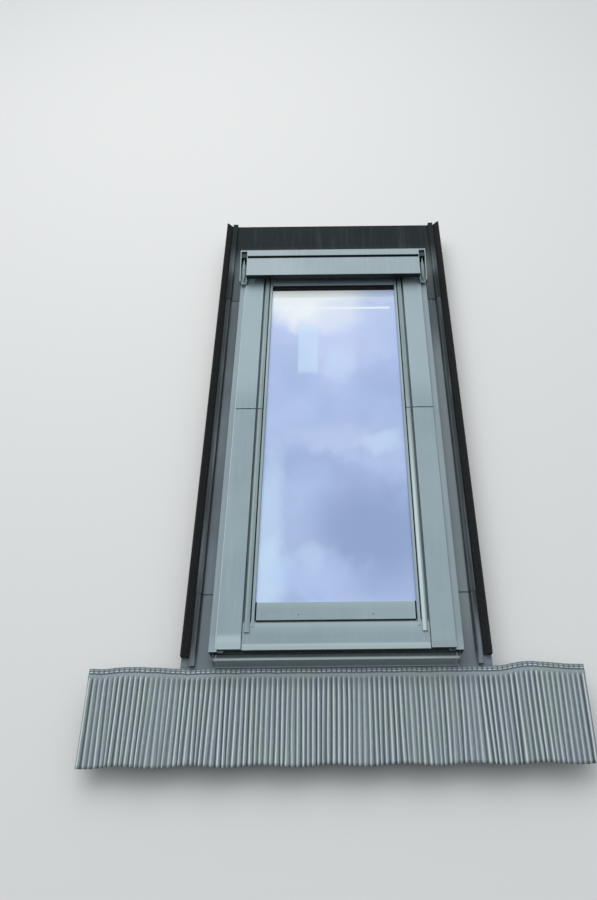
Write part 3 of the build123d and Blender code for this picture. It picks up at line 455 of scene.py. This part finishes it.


# Lacquered pine, with its grain along one axis of the object and dark primer on its outside, which
# also stands in for the shade in the gaps between the covers.
def pine(name, stretch):
    look = {
        "early": screen(226, 190, 140), "late": screen(186, 134, 80), "knot": screen(120, 74, 40),
        "primerAndGapShade": screen(46, 48, 48), "primerFrom": 0.0955, "primerEnd": 0.5885,
        "primerEdge": 0.0004, "warp": 2.0, "warpScale": 0.6, "rings": 9.0, "ringScale": 1.3,
        "ringRange": (0.25, 0.95), "ringDepth": 0.3, "fibreStretch": 14, "fibreRange": (0.4, 0.75),
        "fibres": 0.3, "fibreRough": 0.2, "roughness": 0.38, "depth": 0.00015, "bump": 0.5,
        "coat": 0.25, "coatRough": 0.2,
    }
    material, build = startMaterial(name)
    place = build.objectPlace()
    stretched = build.scaled(place, stretch)
    warp = build.noise(stretched, look["warpScale"], detail=2.0)
    warped = build.vectorMath("ADD", stretched, warp * look["warp"])
    rings = build.noise(warped, look["ringScale"], detail=4.0, roughness=0.55)
    lines = build.math("FRACT", rings * look["rings"])
    fibres = build.longNoise(place, tuple(v * look["fibreStretch"] for v in stretch))
    late = build.between(lines, *look["ringRange"])
    dark = build.between(fibres, *look["fibreRange"]) * look["fibres"]
    colour = build.mixColour(dark, build.mixColour(late, look["early"], look["late"]), look["knot"])
    height, endways = build.axis(place, "Z"), abs(build.axis(place, "Y"))
    # Dark primer on the outer faces and ends, also standing in for the shade in the gaps.
    primedAndGapShaded = build.math("MAXIMUM", *[
        build.between(value, look[start], look[start] + look["primerEdge"])
        for value, start in ((height, "primerFrom"), (endways, "primerEnd"))])
    colour = build.mixColour(primedAndGapShaded, colour, look["primerAndGapShade"])
    finishPaint(build, {
        "Base Color": colour, "Roughness": look["roughness"] + (fibres - 0.5) * look["fibreRough"],
        "Normal": build.bump(fibres + lines * look["ringDepth"], look["depth"], look["bump"]),
        "Coat Weight": look["coat"], "Coat Roughness": look["coatRough"]})
    return material


# A dark colour made paler, with a trace of haze.
def paler(colour, gain, haze=0.01):
    return tuple(v * gain + haze for v in colour)


# Black rubber with a grey bloom.
def rubber(name, colour):
    look = {
        "bloomScale": 30.0, "bloomRange": (0.4, 0.8), "bloom": 0.5, "bloomGain": 2.4,
        "grainScale": 700.0, "grain": 0.0002, "bump": 0.7, "roughness": 0.68,
        "grainRough": 0.3, "gloss": 0.12,
    }
    material, build = startMaterial(name)
    place = build.objectPlace()
    grain = build.noise(place, look["grainScale"], roughness=0.6)
    bloom = build.between(build.noise(place, look["bloomScale"]), *look["bloomRange"])
    bloomColour = paler(colour, look["bloomGain"])
    finishPaint(build, {
        "Base Color": build.mixColour(bloom * look["bloom"], colour, bloomColour),
        "Roughness": look["roughness"] + (grain - 0.5) * look["grainRough"],
        "Specular IOR Level": look["gloss"],
        "Normal": build.bump(grain, look["grain"], look["bump"])})
    return material


# Open foam: dark cells with slightly paler walls.
def openFoam(name):
    look = {
        "cell": (0.006, 0.006, 0.007), "wall": (0.03, 0.032, 0.034), "cellScale": 420.0,
        "wallRange": (0.1, 0.6), "depth": 0.0012, "roughness": 0.85, "wallRough": 0.1, "gloss": 0.1,
    }
    material, build = startMaterial(name)
    values = {"Vector": build.objectPlace(), "Scale": look["cellScale"]}
    cells = build.add("ShaderNodeTexVoronoi", None, values, "Distance")
    walls = build.between(cells, *look["wallRange"])
    finishPaint(build, {
        "Base Color": build.mixColour(walls, look["cell"], look["wall"]),
        "Roughness": look["roughness"] + cells * look["wallRough"],
        "Specular IOR Level": look["gloss"], "Normal": build.bump(cells, look["depth"])})
    return material


# Zinc plate: a bright metal with a faint spangle and dull patches.
def zincPlate(name):
    look = {
        "dark": screen(168, 170, 174), "bright": screen(206, 208, 210),
        "dull": screen(140, 142, 140), "spangleScale": 190.0, "spangle": 0.5,
        "dullScale": 45.0, "dullRange": (0.55, 0.75), "dullShare": 0.5, "metal": 0.9,
        "roughness": 0.3, "dullRough": 0.25, "depth": 0.0002, "bump": 0.4,
    }
    material, build = startMaterial(name)
    place = build.objectPlace()
    values = {"Vector": place, "Scale": look["spangleScale"]}
    spangle = build.add("ShaderNodeTexVoronoi", None, values, "Color")
    spark = build.add("ShaderNodeSeparateColor", None, {"Color": spangle}, "Red")
    patch = build.noise(place, look["dullScale"], detail=4.0, roughness=0.6)
    colour = build.mixColour(spark * look["spangle"], look["dark"], look["bright"])
    dull = build.between(patch, *look["dullRange"]) * look["dullShare"]
    finishPaint(build, {
        "Base Color": build.mixColour(dull, colour, look["dull"]), "Metallic": look["metal"],
        "Roughness": look["roughness"] + patch * look["dullRough"],
        "Normal": build.bump(patch, look["depth"], look["bump"])})
    return material


# Moulded plastic with a fine grain and faint clouds.
def mouldedPlastic(name, colour):
    look = {
        "cloudScale": 60.0, "cloud": 0.4, "cloudGain": 1.8, "grainScale": 1100.0,
        "grain": 0.0001, "bump": 0.6, "roughness": 0.42, "grainRough": 0.2,
    }
    material, build = startMaterial(name)
    place = build.objectPlace()
    grain = build.noise(place, look["grainScale"], detail=2.0)
    cloud = build.noise(place, look["cloudScale"], detail=2.0) * look["cloud"]
    finishPaint(build, {
        "Base Color": build.mixColour(cloud, colour, paler(colour, look["cloudGain"])),
        "Roughness": look["roughness"] + (grain - 0.5) * look["grainRough"],
        "Normal": build.bump(grain, look["grain"], look["bump"])})
    return material


# Aluminium brushed lengthways.
def brushedAluminium(name, colour):
    look = {
        "brushStretch": (900.0, 14.0, 900.0), "brush": 0.00008, "bump": 0.6, "shade": 0.86,
        "metal": 0.85, "roughness": 0.26, "brushRough": 0.2,
    }
    material, build = startMaterial(name)
    brush = build.longNoise(build.objectPlace(), look["brushStretch"], roughness=0.6)
    finishPaint(build, {
        "Base Color": build.mixColour(brush, tuple(v * look["shade"] for v in colour), colour),
        "Metallic": look["metal"], "Roughness": look["roughness"] + brush * look["brushRough"],
        "Normal": build.bump(brush, look["brush"], look["bump"])})
    return material


finishes = {
    "cladding": paintedSheet("cladding_paint", claddingLook),
    "side": paintedSheet("side_paint", sideLook),
    "hood": paintedSheet("hood_paint", hoodLook),
    "gutter": paintedSheet("gutter_paint", gutterLook),
    "head": paintedSheet("head_paint", headLook),
    "cover": paintedSheet("cover_paint", coverLook),
    "rail": paintedSheet("rail_paint", railLook),
    "sill": paintedSheet("sill_paint", sillLook),
    "trim": paintedSheet("trim_paint", trimLook),
    "apron": apronPaint("apron_paint"),
    "paneOut": coatedGlassPaintedSky("coated_glass_painted_sky"),
    "paneIn": clearGlass("clear_glass"),
    "pineAlong": pine("pine_lengthways", (34.0, 1.6, 34.0)),
    "pineAcross": pine("pine_crossways", (1.6, 34.0, 34.0)),
    "seal": rubber("seal_rubber", (0.012, 0.012, 0.013)),
    "foam": openFoam("joint_foam"),
    "zinc": zincPlate("zinc_plate"),
    "plastic": mouldedPlastic("dark_plastic", (0.012, 0.014, 0.014)),
    "plug": mouldedPlastic("plug_plastic", screen(22, 48, 46)),
    "spacer": brushedAluminium("spacer_aluminium", screen(176, 178, 180)),
    "handle": brushedAluminium("handle_aluminium", screen(190, 190, 188)),
}

# Nodes that aren't listed here are cladding.
dressing = {
    "side": ["side_cladding_left", "side_cladding_right"],
    "hood": ["hood_cover", "hood_ends"],
    "gutter": ["side_gutter_left", "side_gutter_right", "sill_flashing"],
    "head": ["head_flashing"],
    "cover": ["glazing_cover"],
    "rail": ["rail_cover"],
    "sill": ["sill_cover"],
    "trim": ["upper_trims", "lower_trims", "hood_inlays"],
    "apron": ["pleated_apron"],
    "paneOut": ["outer_pane"],
    "paneIn": ["inner_pane"],
    "pineAlong": ["frame_side_left", "frame_side_right", "sash_stile_left", "sash_stile_right"],
    "pineAcross": ["frame_top_member", "frame_bottom_member", "sash_top_rail", "sash_bottom_rail"],
    # the top bead takes the dark rubber too, which also stands in for the shade in the groove above
    # the glass
    "seal": ["glazing_bed", "setting_blocks", "upper_gaskets", "lower_gaskets", "bottom_gasket",
             "top_bead"],
    "foam": ["foam_strips"],
    "zinc": ["glazing_cover_screws", "hinge_screws", "bracket_screws", "hood_brackets",
             "mounting_brackets", "hinge_tracks", "hinge_shoes", "upper_cover_clips",
             "lower_cover_clips", "lock_rod_left", "lock_rod_right", "lock_case",
             "cleaning_bolt_left", "cleaning_bolt_right"],
    "plastic": ["bolt_bushes", "bolt_guides"],
    "plug": ["hood_plugs"],
    "spacer": ["glass_spacer"],
    "handle": ["handle", "handle_rose"],
}
finishOf = {name: finish for finish, names in dressing.items() for name in names}
for name, node in nodes.items():
    node.data.materials.clear()
    node.data.materials.append(finishes[finishOf.get(name, "cladding")])
print("finishes set on", len(nodes), "nodes")


def addObject(name, data):
    item = bpy.data.objects.new(name, data)
    bpy.context.scene.collection.objects.link(item)
    return item


# Runs a node tree on an empty mesh and keeps the result as a plain mesh.
def grow(name, tree, sizes):
    holder = addObject(name + "_tree", bpy.data.meshes.new(name + "_seed"))
    modifier = holder.modifiers.new("grow", "NODES")
    modifier.node_group = tree
    for item in tree.interface.items_tree:
        if item.name in sizes:
            modifier[item.identifier] = sizes[item.name]
    depsgraph = bpy.context.evaluated_depsgraph_get()
    mesh = bpy.data.meshes.new_from_object(
        holder.evaluated_get(depsgraph), preserve_all_data_layers=True, depsgraph=depsgraph)
    bpy.data.objects.remove(holder)
    mesh.name = name
    return addObject(name, mesh)


# Starts a tree with one named input for each size.
def startTree(name, sizes):
    kinds = {float: "Float", int: "Int", tuple: "Vector", bpy.types.Material: "Material"}
    tree = bpy.data.node_groups.new(name, "GeometryNodeTree")
    for title, inOut in (("Geometry", "INPUT"), ("Geometry", "OUTPUT")):
        tree.interface.new_socket(title, in_out=inOut, socket_type="NodeSocketGeometry")
    for title, value in sizes.items():
        kind = "NodeSocket" + kinds[type(value)]
        tree.interface.new_socket(title, in_out="INPUT", socket_type=kind)
    build = NodeBuild(tree)
    source = tree.nodes.new("NodeGroupInput")
    return tree, build, {socket.name: Wire(build, socket) for socket in source.outputs}


def finishTree(build, geometry, material):
    whole = build.add("GeometryNodeRealizeInstances", None, {"Geometry": geometry})
    values = {"Geometry": whole, "Material": material}
    coated = build.add("GeometryNodeSetMaterial", None, values)
    build.add("NodeGroupOutput", None, {"Geometry": coated})


apronSizes = {
    "Half Width": 0.5525, "Head": -0.624, "Band": 0.018, "End": -0.8275, "Level": 0.0605,
    "Pleats": 98, "Columns": 9, "Rib Height": 0.0055, "Fall": 0.007, "Disorder": 1.0, "Seed": 4.0,
    "Material": finishes["apron"],
}
# How the sheet is pressed and dressed by hand. Lengths are in metres, ranges along a pleat or
# across one are shares of it.
apronForm = {
    # Rows of points in all and in the head band, and where the band turns into pleats
    "rows": 50, "bandRows": 24, "turnOver": 0.0001, "wall": 0.0008,
    # How the pleats sway and lean, and the ends that stay still
    "sway": 0.016, "swayScale": (40.0, 2.0), "lean": 0.012, "leanScale": 9.0, "stillEdge": 0.9,
    # Shape and height of one pleat
    "skew": 0.85, "fullness": 2.2, "ribStart": 0.05, "ribFoot": 0.45, "leastRib": 0.62,
    "ribSpread": 0.38, "swell": 0.35, "swellScale": (3.7, 14.0),
    # Two rows of squares and a line pressed in the head band
    "crimps": [(0.1, 0.36), (0.37, 0.6), (0.7, 1.1)], "crimpBlur": 0.05, "upperSquares": 0.85,
    "notchRange": (0.3, 0.42), "notch": 0.15, "press": 0.0022, "crimpCrests": (0.4, 0.7, 0.1),
    # Waves of the lower edge, up and down, then in and out
    "wavePitch": 0.15, "wave": 0.0035, "waveStart": 0.8,
    "hem": 0.0022, "hemStart": 2.2, "hemIn": 0.0024,
    # Waves of the head, its raised wings and the bends beside them
    "ripple": 0.006, "rippleScale": 14.0, "rippleSeed": 7.0,
    "wing": 0.009, "wingRange": (0.34, 0.5),
    "archRise": (0.36, 0.43), "archFall": (0.44, 0.53), "archTurn": (-0.1, 0.1, 0.003, 0.008),
    # Painted shade in the folds and below the head band, painted highlights on the crests
    "foldRange": (0.28, 0.46), "foldStart": 0.03, "leastFold": 0.45, "foldSpread": 0.55,
    "headShade": (0.0, 0.2, 0.4, 0.0), "headShadeAside": (0.34, 0.42, 1.0, 0.3),
    "crestAt": 0.4, "crestRange": (0.04, 0.2),
}


# The apron: a grid whose columns follow the pleats, raised into ribs, with a crimped head band.
def apronTree(sizes, form):
    tree, build, wire = startTree("pleatedApron", sizes)
    bandShare = form["bandRows"] / (form["rows"] - 1)
    pleats, seed, halfWidth = wire["Pleats"], wire["Seed"], wire["Half Width"]
    grid = build.add("GeometryNodeMeshGrid", None, {
        "Size X": 1.0, "Size Y": 1.0, "Vertices X": pleats * wire["Columns"] + 1,
        "Vertices Y": form["rows"]}, "Mesh")
    place = build.add("GeometryNodeInputPosition")
    across = build.axis(place, "X") + 0.5
    along = 0.5 - build.axis(place, "Y")

    # Where each point lies on the flat sheet
    head, band, end = wire["Head"], wire["Band"], wire["End"]
    inBand = build.between(along, bandShare, bandShare + form["turnOver"], 1.0, 0.0, False)
    bandWay = build.between(along, 0.0, bandShare, 0.0, 1.0, False)
    pleatWay = build.between(along, bandShare, 1.0, 0.0, 1.0, False)
    inPleats = 1.0 - inBand
    headWay = 1.0 - pleatWay
    bandY = head - bandWay * band
    pleatY = head - band - pleatWay * (head - band - end)
    y = inBand * bandY + inPleats * pleatY
    x = (across * 2.0 - 1.0) * halfWidth
    aside = abs(x)

    # Each pleat has its own chance, and the rows of pleats sway and lean
    phase = across * pleats
    turn = build.math("FRACT", phase)
    index = build.math("FLOOR", phase)
    chance = build.add("ShaderNodeTexWhiteNoise", {"noise_dimensions": "2D"}, {
        "Vector": build.vector(index, seed)}, "Value")
    swayX, swayY = form["swayScale"]
    sway = build.noise(build.vector(x * swayX, y * swayY, seed), 1.0, detail=2.0)
    lean = build.noise(build.vector(x * form["leanScale"], seed), 1.0, detail=2.0)
    edge = build.between(abs(across * 2.0 - 1.0), form["stillEdge"], 1.0, 1.0, 0.0)
    shift = ((sway - 0.5) * form["sway"] + (lean - 0.5) * form["lean"]) * pleatWay
    shift = shift * wire["Disorder"] * edge

    # Ribs of the pleats
    hump = 1.0 - abs(turn ** form["skew"] * 2.0 - 1.0) ** form["fullness"]
    body = build.between(pleatWay, 0.0, form["ribStart"], form["ribFoot"], 1.0)
    swellX, swellY = form["swellScale"]
    swell = build.noise(build.vector(index * swellX, y * swellY, seed), 1.0, detail=2.0) - 0.5
    strength = form["leastRib"] + chance * form["ribSpread"] + swell * form["swell"]
    ribs = hump * (strength * body * inPleats) * wire["Rib Height"]

    # Squares and lines pressed in the head band
    blur = form["crimpBlur"]
    upper, lower, line = [
        build.between(bandWay, start, start + blur)
        * build.between(bandWay, stop - blur, stop, 1.0, 0.0)
        for start, stop in form["crimps"]]
    notch = build.between(abs(turn - 0.5), *form["notchRange"], 1.0, form["notch"])
    squares = (upper * form["upperSquares"] + lower) * notch
    raised = squares + line
    press = raised * inBand * form["press"]

    # Waves of the whole sheet
    wavesPerMetre = 2 * math.pi / form["wavePitch"]
    wave = build.math("SINE", x * wavesPerMetre + form["waveStart"]) * form["wave"]
    hem = build.math("SINE", x * wavesPerMetre + form["hemStart"]) * form["hem"] + form["hemIn"]
    rippleSeed = seed + form["rippleSeed"]
    ripple = build.noise(build.vector(x * form["rippleScale"], rippleSeed), 1.0, detail=2.0) - 0.5
    lift = build.between(aside, *form["wingRange"]) * headWay * form["wing"]
    arch = (build.between(aside, *form["archRise"])
            * build.between(aside, *form["archFall"], 1.0, 0.0)
            * build.between(x, *form["archTurn"]))
    level = wire["Level"] - pleatWay * wire["Fall"] + ripple * form["ripple"] * headWay
    newZ = level + ribs + press + wave * pleatWay * pleatWay + lift
    newY = y + hem * pleatWay + (ripple * form["ripple"] + arch) * headWay
    newY = build.math("MAXIMUM", newY, end)
    newX = build.math("MINIMUM", build.math("MAXIMUM", x + shift, halfWidth * -1.0), halfWidth)

    # Painted shade and highlights that the material reads, and each pleat's chance
    fold = build.between(abs(turn - 0.5), *form["foldRange"])
    fold = fold * (form["leastFold"] + chance * form["foldSpread"])
    fold = fold * build.between(pleatWay, 0.0, form["foldStart"]) * inPleats
    headShade = (build.between(pleatWay, *form["headShade"])
                 * build.between(aside, *form["headShadeAside"]))
    upperCrest, lowerCrest, lineCrest = form["crimpCrests"]
    bandCrest = squares * (upper * upperCrest + lower * lowerCrest) + line * lineCrest
    pleatCrest = build.between(abs(turn - form["crestAt"]), *form["crestRange"], 1.0, 0.0)
    marked = build.mark(grid, {
        "fold": build.math("MAXIMUM", fold, headShade * inPleats),
        "crest": pleatCrest * inPleats + bandCrest * inBand,
        "tone": chance, "crimp": (1.0 - raised) * inBand})
    moved = build.add("GeometryNodeSetPosition", None, {
        "Geometry": marked, "Position": build.vector(newX, newY, newZ)})
    values = {"Geometry": moved, "Shade Smooth": True}
    finishTree(build, build.add("GeometryNodeSetShadeSmooth", None, values), wire["Material"])
    return tree


apron = grow("pleatedSheet", apronTree(apronSizes, apronForm), apronSizes)
wall = apron.modifiers.new("wall", "SOLIDIFY")
wall.thickness = apronForm["wall"]
wall.offset = -1.0
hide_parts("pleated_apron")
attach(apron, "window_frame")
print("apron made:", len(apron.data.polygons), "faces")


# Paint of the screw heads, with painted shade in the recess.
def screwPaint():
    look = {
        "deep": screen(150, 166, 168), "pale": screen(186, 198, 198), "grains": 0.4,
        "recessShade": screen(20, 26, 28), "recessRange": (0.35, 0.62), "grainScale": 2600.0,
        "grain": 0.00005, "roughness": 0.34, "grainRough": 0.2,
    }
    material, build = startMaterial("screw_paint")
    grain = build.noise(build.objectPlace(), look["grainScale"])
    ring = build.mixColour(grain * look["grains"], look["deep"], look["pale"])
    recessShade = build.between(build.attribute("reach"), *look["recessRange"], 1.0, 0.0)
    finishPaint(build, {
        "Base Color": build.mixColour(recessShade, ring, look["recessShade"]),
        "Roughness": look["roughness"] + grain * look["grainRough"],
        "Normal": build.bump(grain, look["grain"])})
    return material


# The screws of the glazing cover: low painted heads with a cross recess, darkened by painted shade.
def screwTree(sizes):
    tree, build, wire = startTree("coverScrews", sizes)
    radius, rise = wire["Head Radius"], wire["Head Rise"]
    topShare, barShare = 0.82, 1.4  # top of the head by its foot, depth of the cut by its rise
    head = build.add("GeometryNodeMeshCone", None, {
        "Vertices": 32, "Side Segments": 4, "Fill Segments": 3, "Radius Top": radius * topShare,
        "Radius Bottom": radius, "Depth": rise}, "Mesh")
    bars = []
    for x, y in (("Recess", "Recess Width"), ("Recess Width", "Recess")):
        values = {"Size": build.vector(wire[x], wire[y], rise * barShare)}
        bar = build.add("GeometryNodeMeshCube", None, values, "Mesh")
        values = {"Geometry": bar, "Translation": build.vector(z=rise)}
        bars.append(build.add("GeometryNodeTransform", None, values))
    settings = {"operation": "DIFFERENCE"}
    cut = build.add("GeometryNodeMeshBoolean", settings, {"Mesh 1": head}, "Mesh")
    for bar in bars:
        tree.links.new(bar.socket, cut.socket.node.inputs["Mesh 2"])
    reach = build.vectorMath("LENGTH", build.add("GeometryNodeInputPosition"), output="Value")
    marked = build.mark(cut, {"reach": reach / radius})
    row = build.add("GeometryNodeMeshLine", {"mode": "END_POINTS"}, {
        "Count": wire["Count"], "Start Location": wire["First Place"],
        "Offset": wire["Last Place"]})
    heads = build.add("GeometryNodeInstanceOnPoints", None, {"Points": row, "Instance": marked})
    finishTree(build, heads, wire["Material"])
    return tree


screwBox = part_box("glazing_cover_screws")
screwLow, (screwRight, screwHigh, screwTop) = screwBox[0][1], screwBox[1]
headRadius = (screwHigh - screwLow) / 2
screwX = screwRight - headRadius
screwY = (screwLow + screwHigh) / 2
screwSizes = {
    "Head Radius": headRadius, "Head Rise": 0.0006, "Recess": 0.0026, "Recess Width": 0.0008,
    "First Place": (-screwX, screwY, screwTop), "Last Place": (screwX, screwY, screwTop),
    "Count": 2, "Material": screwPaint(),
}
screws = grow("coverScrewHeads", screwTree(screwSizes), screwSizes)
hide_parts("glazing_cover_screws")
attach(screws, "sash")
print("screws made:", len(screws.data.polygons), "faces")

# Strips by two opposite corners, each a rubber lip along its longer side.
lipPlan = {
    "arc": 7, "shoulder": 0.45,  # points over the rounded top, and where it starts
    "strips": [
        ((0.191, -0.534, 0.1031), (0.194, 0.538, 0.1048)),
        ((-0.194, -0.534, 0.1031), (-0.191, 0.538, 0.1048)),
        ((0.181, -0.534, 0.1031), (0.1845, -0.4865, 0.1052)),
        ((-0.1845, -0.534, 0.1031), (-0.181, -0.4865, 0.1052)),
        ((-0.1805, -0.5342, 0.11), (0.1805, -0.5301, 0.1109)),  # head of the rail cover, where the lip also stands in for the shade of the joint
    ],
}


# The outline of a lip: an arch over the strip's width, from foot to foot.
def lipSection(low, high, over):
    width, rise, shoulder = high[over] - low[over], high[2] - low[2], lipPlan["shoulder"]
    section = [(low[over], low[2])]
    for step in range(lipPlan["arc"]):
        turn = math.pi * step / (lipPlan["arc"] - 1)
        section.append((low[over] + width * ((1 - math.cos(turn)) / 2),
                        low[2] + rise * (shoulder + (1 - shoulder) * math.sin(turn))))
    return section + [(high[over], low[2])]


# Dark rubber lips in the joints of the sash covers: each a strip with a rounded top. They also
# stand in for the shade in these joints.
def rubberLipsAndJointShade():
    points, faces = [], []
    for low, high in lipPlan["strips"]:
        along = 0 if high[0] - low[0] > high[1] - low[1] else 1
        section = lipSection(low, high, 1 - along)
        start, count = len(points), len(section)
        for end in (low[along], high[along]):
            for side, level in section:
                points.append((end, side, level) if along == 0 else (side, end, level))
        for step in range(count):
            after = (step + 1) % count
            faces.append((start + step, start + after, start + count + after, start + count + step))
        faces.append(tuple(range(start + count - 1, start - 1, -1)))
        faces.append(tuple(range(start + count, start + 2 * count)))
    mesh = bpy.data.meshes.new("rubberLipsAndJointShade")
    mesh.from_pydata(points, [], faces)
    shape = bmesh.new()
    shape.from_mesh(mesh)
    bmesh.ops.recalc_face_normals(shape, faces=shape.faces)
    shape.to_mesh(mesh)
    shape.free()
    mesh.materials.append(finishes["seal"])
    return addObject("rubberLipsAndJointShade", mesh)


lips = rubberLipsAndJointShade()
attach(lips, "sash")
print("lips made:", len(lips.data.polygons), "faces")

# Floor, light and camera
lightPlan = {
    "horizon": 0.02, "zenith": 1.45, "falloff": 2.2, "zenithWay": (0.0, 0.53, 0.85),
    "skyRange": (-0.1, 1.0), "skyColour": (0.93, 0.97, 1.0),
    "keySize": 3.0, "keyPower": 42.0, "keyPlace": (-0.7, 1.7, 2.8),
    "floorColour": screen(232, 232, 230), "floorBounce": (0.12, 0.12, 0.12), "floorHalf": 14.0,
}
# The camera's place, its own axes, and its lens and sensor in millimetres.
view = {
    "place": (0.0089, -0.9947, 1.615), "right": (0.99994, -0.0088, -0.0063),
    "up": (0.0108, 0.8551, 0.5184), "back": (0.0008, -0.5184, 0.8551),
    "lens": 27.04, "sensor": 36.0, "shift": -39.0 / 900.0, "clipStart": 0.01,
}


# The rays that show a surface: straight ones, and those by way of metal or glass.
def seenRays(build):
    straight, glossy, through = [
        build.add("ShaderNodeLightPath", output=title)
        for title in ("Is Camera Ray", "Is Glossy Ray", "Is Transmission Ray")]
    return build.math("MAXIMUM", build.math("MAXIMUM", straight, glossy), through)


def paleFloor():
    half = lightPlan["floorHalf"]
    mesh = bpy.data.meshes.new("floor")
    corners = [(-half, -half, 0), (half, -half, 0), (half, half, 0), (-half, half, 0)]
    mesh.from_pydata(corners, [], [(0, 1, 2, 3)])
    floor = addObject("floor", mesh)
    material, build = startMaterial("pale_floor")
    pale, dim = [
        build.add("ShaderNodeBsdfDiffuse", None, {"Color": asColour(lightPlan[shade])})
        for shade in ("floorColour", "floorBounce")]
    values = {0: seenRays(build), 1: dim, 2: pale}
    finishMaterial(build, build.add("ShaderNodeMixShader", None, values))
    mesh.materials.append(material)


def softWorld():
    world = bpy.data.worlds.new("softWorld")
    bpy.context.scene.world = world
    world.use_nodes = True
    world.node_tree.nodes.clear()
    build = NodeBuild(world.node_tree)
    way = build.add("ShaderNodeTexCoord", output="Generated")
    height = build.vectorMath("DOT_PRODUCT", way, Vector(lightPlan["zenithWay"]), output="Value")
    share = build.between(height, *lightPlan["skyRange"], smooth=False) ** lightPlan["falloff"]
    strength = lightPlan["horizon"] + share * lightPlan["zenith"]
    lamp, white = [
        build.add("ShaderNodeBackground", None, {"Color": asColour(colour), "Strength": power})
        for colour, power in ((lightPlan["skyColour"], strength), ((1.0, 1.0, 1.0), 1.0))]
    mixed = build.add("ShaderNodeMixShader", None, {0: seenRays(build), 1: lamp, 2: white})
    build.add("ShaderNodeOutputWorld", None, {"Surface": mixed})


def keyLight():
    lamp = bpy.data.lights.new("key", "AREA")
    lamp.shape = "DISK"
    lamp.size = lightPlan["keySize"]
    lamp.energy = lightPlan["keyPower"]
    holder = addObject("key", lamp)
    holder.visible_glossy = False
    place = Vector(lightPlan["keyPlace"])
    turn = (-place).to_track_quat("-Z", "Y").to_matrix().to_4x4()
    holder.matrix_world = Matrix.Translation(place) @ turn


def photoCamera():
    camera = bpy.data.cameras.new("photoCamera")
    camera.sensor_fit = "VERTICAL"
    camera.sensor_height = view["sensor"]
    camera.sensor_width = view["sensor"]
    camera.lens = view["lens"]
    camera.shift_x = view["shift"]
    camera.clip_start = view["clipStart"]
    holder = addObject("photoCamera", camera)
    turn = Matrix((view["right"], view["up"], view["back"])).transposed().to_4x4()
    holder.matrix_world = Matrix.Translation(view["place"]) @ turn
    bpy.context.scene.camera = holder


paleFloor()
softWorld()
keyLight()
photoCamera()
bpy.context.scene.view_settings.view_transform = "Standard"
print("stage set")
